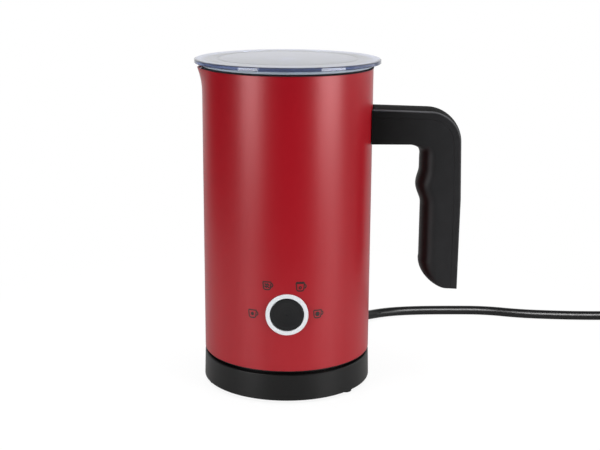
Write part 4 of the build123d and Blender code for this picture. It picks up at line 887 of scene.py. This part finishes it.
class FROTHER_OT_handle(bpy.types.Operator):
    """Makes the handle's body and the cover along its outer edge"""

    bl_idname = "frother.handle"
    bl_label = "Handle"

    def execute(self, context):
        sizes = context.scene.frother_sizes
        seam = sizes.cover_thickness + sizes.cover_seam
        cover = cut_mesh(self.block(sizes), ("DIFFERENCE", self.inside(sizes, sizes.cover_thickness)),
                         ("DIFFERENCE", self.seat(sizes)))
        body = cut_mesh(self.block(sizes), ("INTERSECT", self.inside(sizes, seam)),
                        ("DIFFERENCE", self.seat(sizes)))
        placed("handle_grip", body, "jug", "handle_plastic", "black_plastic", "handle_body")
        placed("handle_strap", cover, "jug", "strap_plastic", "black_plastic", "handle_cover")
        dress("bright_steel", "handle_screws")
        dress("brushed_steel", "handle_bracket")
        return {"FINISHED"}

    def block(self, sizes):
        """The whole handle: its side view in slices that draw in towards both sides, most along the grip."""
        half = handle_high.y
        turns = [pi / 2 * step / ROUND_STEPS for step in range(-ROUND_STEPS, ROUND_STEPS + 1)]
        slices = [half * sin(turn) for turn in turns]
        shape = self.outline(sizes, -half)
        outline = [(loop.vert, self.inward(loop)) for loop in shape.faces[:][0].loops]
        draws = [(vertex.co.copy(), inward, *self.rounding(vertex.co, sizes)) for vertex, inward in outline]
        widen(shape, *[after - before for before, after in zip(slices, slices[1:])])
        for vertex in shape.verts:
            _, inward, depth, reach, crown = min(
                draws, key=lambda draw: hypot(draw[0].x - vertex.co.x, draw[0].z - vertex.co.z))
            past = max(abs(vertex.co.y) - half + reach, 0) / reach
            rise = crown * (1 - (vertex.co.y / half) ** 2)
            vertex.co += inward * (depth * (1 - sqrt(max(1 - past**2, 0))) - rise)
        return shape

    def outline(self, sizes, side):
        """The handle's side view with its finger bump."""
        root = shell_high.y / 2
        low, high, reach = handle_low.z, handle_high.z, handle_high.x
        arm_low = high - sizes.arm_depth
        grip, foot = sizes.grip_start, sizes.grip_start + sizes.grip_slope
        shape = side_view([
            (root, arm_low, 0), (grip, arm_low, sizes.handle_armpit), (foot, low, sizes.grip_foot),
            (reach, low, 0), (reach, sizes.lean_start, 0),
            (reach - sizes.handle_lean, high - sizes.arm_fall, sizes.handle_corner), (root, high, 0),
        ], side)
        limit = foot + NEAR
        inner_edges = [edge for edge in shape.edges if all(vertex.co.x < limit for vertex in edge.verts)]
        inner = max(inner_edges, key=lambda edge: abs(edge.verts[0].co.z - edge.verts[1].co.z))
        made = bmesh.ops.subdivide_edges(shape, edges=[inner], cuts=40)
        for vertex in corners_in(made["geom_inner"]):
            away = min(max((vertex.co.z - sizes.bump_height) / sizes.bump_span, -1), 1)
            bump = sizes.bump_rise * (1 - away**2) ** 2
            vertex.co.x = grip + sizes.grip_slope * smooth_step((1 - away) / 2) - bump
        return shape

    def inward(self, loop):
        """The direction into the outline at one of its corners."""
        along = (loop.link_loop_next.vert.co - loop.link_loop_prev.vert.co).normalized()
        return loop.face.normal.cross(along)

    def rounding(self, place, sizes):
        """The depth and width of the rounding at a place of the side view, and the crown there."""
        foot = sizes.grip_start + sizes.grip_slope
        arm_low = handle_high.z - sizes.arm_depth
        on_grip = place.z < arm_low + NEAR and place.x < foot + sizes.grip_foot + NEAR
        share = 1 - smooth_step((place.x - foot) / sizes.grip_foot) if on_grip else 0
        share *= smooth_step((arm_low + NEAR - place.z) / sizes.grip_blend)
        depth = sizes.cover_edge + (sizes.grip_round - sizes.cover_edge) * share
        reach = sizes.cover_edge_width + (handle_high.y - sizes.cover_edge_width) * share
        outer = place.z > arm_low + NEAR or place.x > foot + sizes.grip_foot + NEAR
        crown = sizes.cover_crown * smooth_step((place.z - handle_low.z) / sizes.grip_foot) if outer else 0
        return depth, reach, crown

    def inside(self, sizes, inset):
        """A block that fills all of the handle but its cover."""
        width = handle_high.y - handle_low.y
        low, high = handle_low.z - 10 * MM, handle_high.z - inset
        outer = handle_high.x - inset
        shape = side_view([
            (0, low, 0), (outer, low, 0), (outer, sizes.lean_start, 0),
            (outer - sizes.handle_lean, high - sizes.arm_fall, sizes.handle_corner - inset), (0, high, 0),
        ], -width)
        return widen(shape, 2 * width)

    def seat(self, sizes):
        """The round of the shell that the handle sits on."""
        radius = shell_high.y + sizes.shell_seam
        return turned([(0, shell_low.z), (radius, shell_low.z), (radius, shell_high.z), (0, shell_high.z)],
                      closed=False)


class FROTHER_OT_base(bpy.types.Operator):
    """Finishes the power base"""

    bl_idname = "frother.base"
    bl_label = "Power base"

    def execute(self, context):
        dress("grained_black", "base_shell", "base_plate", "base_connector")
        dress("soft_rubber", "rubber_feet", "strain_relief")
        dress("bright_steel", "base_screws")
        dress("bare_brass", "connector_contacts")
        return {"FINISHED"}


class FROTHER_OT_works(bpy.types.Operator):
    """Finishes the jug's underside and the works inside it"""

    bl_idname = "frother.works"
    bl_label = "Underside and works"

    def execute(self, context):
        dress("grained_black", "bottom_cap", "socket_housing")
        dress("pale_plastic", "socket_retainer", "magnet_carrier")
        dress("bare_brass", "socket_contacts")
        dress("bright_steel", "cap_screws", "retainer_screws", "motor_screws", "board_screws",
              "power_screws", "motor_shaft", "drive_magnets", "spacer_posts", "standoffs")
        dress("brushed_steel", "motor_bracket", "motor_can", "heating_element", "temperature_sensor",
              "thermal_cutout")
        dress("cast_aluminium", "heat_plate")
        dress("solder_mask", "control_board", "power_board", "tact_switch")
        return {"FINISHED"}


class FROTHER_OT_whisk(bpy.types.Operator):
    """Winds the whisk's spring and finishes its hub"""

    bl_idname = "frother.whisk"
    bl_label = "Whisk"

    def execute(self, context):
        sizes = context.scene.frother_sizes
        steps = 16
        middle = (spring_low.z + spring_high.z) / 2
        points = []
        for step in range(sizes.spring_curls * steps + 1):
            curl = 2 * pi * step / steps
            around = sizes.spring_span * step / (sizes.spring_curls * steps)
            reach = sizes.spring_circle - sizes.spring_curl * cos(curl)
            rise = sizes.spring_curl * sin(curl)
            points.append((reach * cos(around), reach * sin(around), middle + rise))
        curve = tube_curve("spring_wire", sizes.spring_wire)
        curve.resolution_u = 2
        add_smooth_line(curve, points)
        placed("whisk_spring", curve_mesh(curve), "whisk", "bright_steel", "steel", "whisk_coil")
        dress("grained_black", "whisk_hub")
        dress("bright_steel", "whisk_magnets")
        return {"FINISHED"}


# Points of the cord's route, from the strain relief to the coil and from the coil to the plug
CORD_ROUTE = [
    (0.03765, 0.07081, 0.0084),
    (0.04469, 0.08406, 0.0084),
    (0.0555, 0.1025, 0.0042),
    (0.073, 0.1146, 0.00325),
    (0.094, 0.1186, 0.00325),
    (0.12, 0.1195, 0.00325),
    (0.147, 0.1193, 0.00325),
    (0.17, 0.112, 0.00325),
    (0.19, 0.1092, 0.00325),
    (0.215, 0.1073, 0.00325),
    (0.2415, 0.104875, 0.00415),
    (0.2655, 0.104875, 0.00415),
]
TAIL_ROUTE = [
    (0.311875, 0.0585, 0.01115),
    (0.311875, 0.0425, 0.01115),
    (0.311875, 0.0215, 0.0185),
    (0.311875, 0.0055, 0.0185),
]
COIL_CENTRE = (0.272, 0.065, 0.00415)

# One groove of the plug's neck: points outwards from the neck's wall and along it, in millimetres
NECK_GROOVE = [(0, 0), (-0.9, 0.4), (-0.7, 1.7), (0.4, 2.1)]


def coil_reach(sizes, turn):
    """The coil's radius after a number of turns."""
    return sizes.coil_radius + sizes.coil_pitch * abs(turn - sizes.coil_turns / 2)


def coil_points(sizes, steps=24):
    """Points of the coil, clockwise from its back: inwards, up to a second layer and outwards."""
    points = []
    middle, climb_turns = sizes.coil_turns / 2, 0.5
    for step in range(round(sizes.coil_turns * steps) + 1):
        turn = step / steps
        radius = coil_reach(sizes, turn)
        climb = smooth_step((turn - middle) / climb_turns + 0.5)
        around = pi / 2 - 2 * pi * turn
        points.append((COIL_CENTRE[0] + radius * cos(around), COIL_CENTRE[1] + radius * sin(around),
                       COIL_CENTRE[2] + sizes.coil_pitch * climb))
    return points


class FROTHER_OT_cord(bpy.types.Operator):
    """Lays the cord from the base to the coil and on to the plug"""

    bl_idname = "frother.cord"
    bl_label = "Cord and plug"

    def execute(self, context):
        sizes = context.scene.frother_sizes
        curve = tube_curve("mains_cord", sizes.cord_diameter / 2, 6)
        curve.resolution_u = 8
        add_smooth_line(curve, CORD_ROUTE + coil_points(sizes) + TAIL_ROUTE)
        curve.materials.append(finish("cord_sheath"))
        cord = added("mains_cord", curve)
        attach(cord, "base")
        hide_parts("cord", "cord_coil", "cord_tail")
        band = self.add_tie(sizes)
        plug = self.add_plug(sizes)
        dress("bright_steel", "plug_pins", "earth_clips")
        return {"FINISHED"}

    def add_tie(self, sizes):
        """The soft band round the coil's two layers, with its end lapped over the outside."""
        inner = sizes.cord_diameter / 2 + sizes.tie_gap
        thick = sizes.tie_thickness
        strands = []
        for layer, turn in enumerate((0.5, 1.5)):
            across = COIL_CENTRE[1] - coil_reach(sizes, turn)
            strands.append(Vector((tie_low.x, across, COIL_CENTRE[2] + sizes.coil_pitch * layer)))
        lap_low = COIL_CENTRE[2] + sizes.coil_pitch / 3
        band = self.band(strands, inner, thick, lambda place: True)
        lap = self.band(strands, inner + thick + NEAR, thick,
                        lambda place: place.z > lap_low and place.y > strands[0].y)
        return [
            finished("tie_band", band, "base", "soft_rubber", "black_rubber", "cord_tie"),
            finished("tie_lap", lap, "base", "soft_rubber", "black_rubber"),
        ]

    def band(self, strands, inner, thick, kept):
        """A strip, or the kept part of one, round two strands that lie on each other."""
        shape = bmesh.new()
        bmesh.ops.create_circle(shape, segments=64, radius=1, matrix=Matrix.Rotation(pi / 2, 4, "Y"))
        for vertex in shape.verts:
            vertex.co = strands[vertex.co.z > 0] + vertex.co * inner
        left_out = [vertex for vertex in shape.verts if not kept(vertex.co)]
        bmesh.ops.delete(shape, geom=left_out, context="VERTS")
        across = bmesh.ops.extrude_edge_only(shape, edges=shape.edges)["geom"]
        bmesh.ops.translate(shape, verts=corners_in(across), vec=(tie_high.x - tie_low.x, 0, 0))
        grown = bmesh.ops.extrude_face_region(shape, geom=shape.faces[:])["geom"]
        for vertex in corners_in(grown):
            gaps = [vertex.co - strand for strand in strands]
            away = min(gaps, key=lambda gap: abs(hypot(gap.y, gap.z) - inner))
            vertex.co += Vector((0, away.y, away.z)).normalized() * thick
        bmesh.ops.recalc_face_normals(shape, faces=shape.faces)
        corner_angle = 1
        edges = [edge for edge in shape.edges if edge.calc_face_angle(0) > corner_angle]
        bevelled(shape, edges, thick / 4, 2)
        return shape

    def add_plug(self, sizes):
        """The moulded plug: grooved neck, fluted taper and round front with seats for the earth clips."""
        radius = (plug_high.x - plug_low.x) / 2
        reach = plug_high.y - plug_low.y
        neck, taper = sizes.plug_neck, sizes.plug_neck + sizes.plug_taper
        sleeve, front, rim, rim_slope = 1 * MM, 3 * MM, 3 * MM, 0.6 * MM
        tip, root = sizes.cord_diameter / 2 + sleeve, sizes.plug_neck_radius
        dish = reach - sizes.plug_dish
        flutes, flute_ease = 18, 5 * MM
        flute_start, flute_end = neck + 4 * MM, taper + 8 * MM
        outline = [(0, 0), (tip, 0)]
        grooves, lead = 5, 0.6
        for groove in range(grooves):
            start = neck * (groove + lead) / (grooves + lead)
            wall = tip + (root - tip) * start / neck
            outline += [(wall + out * MM, start + along * MM) for out, along in NECK_GROOVE]
        for step in range(ROUND_STEPS + 1):
            share = step / ROUND_STEPS
            outline.append((root + (radius - root) * smooth_step(share), neck + sizes.plug_taper * share))
        outline += [(radius, taper + front), (radius, flute_end), (radius, reach), (radius - rim, reach),
                    (radius - rim - rim_slope, dish), (0, dish)]
        shape = turned(outline, closed=False, steps=144)
        round_rings(shape, sizes.plug_round, 4, (radius, reach))
        for vertex in shape.verts:
            away = hypot(vertex.co.x, vertex.co.y)
            rise = smooth_step((vertex.co.z - flute_start) / flute_ease)
            flute = rise * smooth_step((flute_end - vertex.co.z) / flute_ease)
            turn = atan2(vertex.co.y, vertex.co.x)
            vertex.co.xy *= 1 - sizes.plug_flute * flute * sin(flutes / 2 * turn) ** 2 / max(away, root)
        middle = Vector(((plug_low.x + plug_high.x) / 2, plug_high.y, (plug_low.z + plug_high.z) / 2))
        place = Matrix.Translation(middle) @ Matrix.Rotation(pi / 2, 4, "X")
        bmesh.ops.transform(shape, matrix=place, verts=shape.verts)
        seats = bmesh.new()
        play = 0.2 * MM
        width, depth = clips_high.z - clips_low.z + play, 2 * sizes.clip_recess
        size = Matrix.Diagonal((depth, 2 * (clips_high.y - clips_low.y), width, 1))
        for side in (plug_low.x, plug_high.x):
            seat = Matrix.Translation((side, clips_low.y, middle.z)) @ size
            bmesh.ops.create_cube(seats, size=1, matrix=seat)
        return placed("moulded_plug", cut_mesh(shape, ("DIFFERENCE", seats)), "base", "grained_black",
                      "black_plastic", "plug_body")


# Stage


def area_light(name, place, facing, width, height, radiance):
    """A rectangular light with a given radiance."""
    light = bpy.data.lights.new(name, "AREA")
    light.shape = "RECTANGLE"
    light.size = width
    light.size_y = height
    light.energy = radiance * pi * width * height
    made = added(name, light)
    turn = Vector(facing).to_track_quat("-Z", "Y").to_matrix().to_4x4()
    made.matrix_world = Matrix.Translation(place) @ turn
    return made


def softbox(name, azimuth, distance, low, high, width, radiance):
    """An upright light that faces the object from an azimuth, given in degrees from the camera's side."""
    outward = Vector((sin(radians(azimuth)), -cos(radians(azimuth)), 0))
    place = outward * distance + Vector((0, 0, (low + high) / 2))
    return area_light(name, place, -outward, width, high - low, radiance)


def softbox_pair(name, azimuth, width, radiance, fill):
    """A softbox that shows in reflections, and a taller one above it that only fills in light."""
    distance, low, middle, high = 1.0, 0.02, 0.35, 1.1
    softbox(name, azimuth, distance, low, middle, width, radiance)
    softbox(name + "_fill", azimuth, distance, middle, high, width, fill).visible_glossy = False


def mixed_surface(tree, output, factor, first, second):
    """Gives an output's surface a mix of two shaders."""
    mix = tree.nodes.new("ShaderNodeMixShader")
    tree.links.new(factor, mix.inputs["Fac"])
    tree.links.new(first, mix.inputs[1])
    tree.links.new(second, mix.inputs[2])
    tree.links.new(mix.outputs["Shader"], tree.nodes[output].inputs["Surface"])


def light_path(tree):
    """Values that are 1 for rays straight from the camera or through clear plastic, and for reflections."""
    path = tree.nodes.new("ShaderNodeLightPath")
    direct = calculated(tree, "MAXIMUM", path.outputs["Is Camera Ray"], path.outputs["Is Transmission Ray"])
    return direct, path.outputs["Is Glossy Ray"]


class FROTHER_OT_stage(bpy.types.Operator):
    """Sets up the camera, the floor, the lights and the white background"""

    bl_idname = "frother.stage"
    bl_label = "Stage"

    def execute(self, context):
        stage = context.scene.frother_stage
        self.add_camera(context, stage)
        self.add_floor()
        self.add_world(context, stage)
        softbox_pair("left_softbox", azimuth=-47.8, width=0.45, radiance=stage.left_light,
                     fill=stage.fill_light)
        softbox_pair("right_softbox", azimuth=55.5, width=0.56, radiance=stage.right_light,
                     fill=stage.fill_light)
        softbox("side_light", azimuth=108, distance=1.1, low=0.05, high=1.0, width=0.9,
                radiance=stage.side_light)
        above, down, width, depth = (0, 0.02, 1.2), (0, 0, -1), 1.0, 0.9
        area_light("top_light", above, down, width, depth, stage.top_light).visible_glossy = False
        area_light("top_glow", above, down, width, depth, stage.top_glow).visible_diffuse = False
        self.add_cord_light(stage)
        context.scene.view_settings.view_transform = "Standard"
        return {"FINISHED"}

    def add_cord_light(self, stage):
        """A strip in front that shows only as a line along the cord."""
        place, cord_middle = Vector((0.3, -0.9, 0.74)), Vector((0.15, 0.12, 0))
        width, height = 0.9, 0.5
        strip = area_light("cord_light", place, cord_middle - place, width, height, stage.cord_light)
        strip.visible_diffuse = False
        strip.light_linking.receiver_collection = bpy.data.collections.new("cord_light_lines")
        strip.light_linking.receiver_collection.objects.link(bpy.data.objects["mains_cord"])

    def add_camera(self, context, stage):
        """The camera in front, a little above the lid."""
        pan, pitch, roll = stage.camera_pan, stage.camera_pitch, stage.camera_roll
        ahead = Vector((sin(pan) * cos(pitch), cos(pan) * cos(pitch), -sin(pitch)))
        right = ahead.cross(Vector((0, 0, 1))).normalized()
        up = right.cross(ahead)
        right, up = right * cos(roll) + up * sin(roll), up * cos(roll) - right * sin(roll)
        turn = Matrix((right, up, -ahead)).transposed().to_4x4()
        lens = bpy.data.cameras.new("camera")
        lens.sensor_width = 36
        lens.lens = stage.camera_lens
        lens.clip_start = 0.01
        camera = added("camera", lens)
        camera.matrix_world = Matrix.Translation(stage.camera_place) @ turn
        context.scene.camera = camera

    def add_floor(self):
        """The floor, which the camera sees as white, with a soft shadow near the object."""
        middle, half_side = (0.08, 0.25, 0), 0.5
        near_share, near_end, far_start = 0.88, 0.08, 0.3
        mirrored_share, mirrored_glow = 0.6, 0.2
        shape = bmesh.new()
        bmesh.ops.create_grid(shape, x_segments=1, y_segments=1, size=half_side,
                              matrix=Matrix.Translation(middle))
        floor = added("floor", mesh_of("floor", shape))
        made, tree, shader = new_material("floor_white")
        shaded(tree, shader, noise(tree, 40, 2.0), (0.9, 0.9, 0.9), 0.01)
        shader.inputs["Roughness"].default_value = 0.3
        glow = tree.nodes.new("ShaderNodeEmission")
        direct, glossy = light_path(tree)
        far = tree.nodes.new("ShaderNodeVectorMath")
        far.operation = "LENGTH"
        tree.links.new(object_place(tree), far.inputs["Vector"])
        share = spread(tree, far.outputs["Value"], near_share, 1, near_end, far_start)
        mirrored = calculated(tree, "MULTIPLY", glossy, mirrored_share)
        shown = calculated(tree, "MULTIPLY", direct, share)
        strength = calculated(tree, "MAXIMUM", direct, calculated(tree, "MULTIPLY", glossy, mirrored_glow))
        tree.links.new(strength, glow.inputs["Strength"])
        mixed_surface(tree, "Material Output", calculated(tree, "MAXIMUM", shown, mirrored),
                      shader.outputs["BSDF"], glow.outputs["Emission"])
        floor.data.materials.append(made)

    def add_world(self, context, stage):
        """The dim room, with a white backdrop for the camera and for reflections of what lies behind."""
        backdrop_start, backdrop_end = 0.45, 1.05
        world = bpy.data.worlds.new("studio")
        world.use_nodes = True
        tree = world.node_tree
        room = tree.nodes["Background"]
        room.inputs["Strength"].default_value = stage.room_light
        white = tree.nodes.new("ShaderNodeBackground")
        for background in (room, white):
            background.inputs["Color"].default_value = (1, 1, 1, 1)
        direction = tree.nodes.new("ShaderNodeTexCoord")
        split = tree.nodes.new("ShaderNodeSeparateXYZ")
        tree.links.new(direction.outputs["Generated"], split.inputs["Vector"])
        backdrop = spread(tree, split.outputs["Y"], 0, 1, backdrop_start, backdrop_end, "SMOOTHSTEP")
        direct, glossy = light_path(tree)
        mirrored = calculated(tree, "MULTIPLY", glossy, backdrop)
        mixed_surface(tree, "World Output", calculated(tree, "MAXIMUM", direct, mirrored),
                      room.outputs["Background"], white.outputs["Background"])
        context.scene.world = world


OPERATORS = (
    FROTHER_OT_cord,
    FROTHER_OT_shell,
    FROTHER_OT_pot,
    FROTHER_OT_lid,
    FROTHER_OT_button,
    FROTHER_OT_icons,
    FROTHER_OT_handle,
    FROTHER_OT_base,
    FROTHER_OT_works,
    FROTHER_OT_whisk,
    FROTHER_OT_stage,
)


class FROTHER_PT_sidebar(bpy.types.Panel):
    """Lists the pieces of the frother"""

    bl_label = "Milk Frother"
    bl_idname = "FROTHER_PT_sidebar"
    bl_space_type = "VIEW_3D"
    bl_region_type = "UI"
    bl_category = "Frother"

    def draw(self, context):
        for operator in OPERATORS:
            self.layout.operator(operator.bl_idname)


GROUPS = {
    "frother_sizes": FrotherSizes,
    "frother_colours": FrotherColours,
    "frother_stage": StageSettings,
}


def register():
    """Registers the property groups, the operators and the panel."""
    for group in GROUPS.values():
        bpy.utils.register_class(group)
    for name, group in GROUPS.items():
        setattr(bpy.types.Scene, name, PointerProperty(type=group))
    for operator in OPERATORS:
        bpy.utils.register_class(operator)
    bpy.utils.register_class(FROTHER_PT_sidebar)


def unregister():
    """Takes out all that register() puts in."""
    bpy.utils.unregister_class(FROTHER_PT_sidebar)
    for operator in reversed(OPERATORS):
        bpy.utils.unregister_class(operator)
    for name, group in GROUPS.items():
        delattr(bpy.types.Scene, name)
        bpy.utils.unregister_class(group)


def main():
    """Registers the add-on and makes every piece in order."""
    register()
    for operator in OPERATORS:
        group, name = operator.bl_idname.split(".")
        getattr(getattr(bpy.ops, group), name)()


if __name__ == "__main__":
    main()
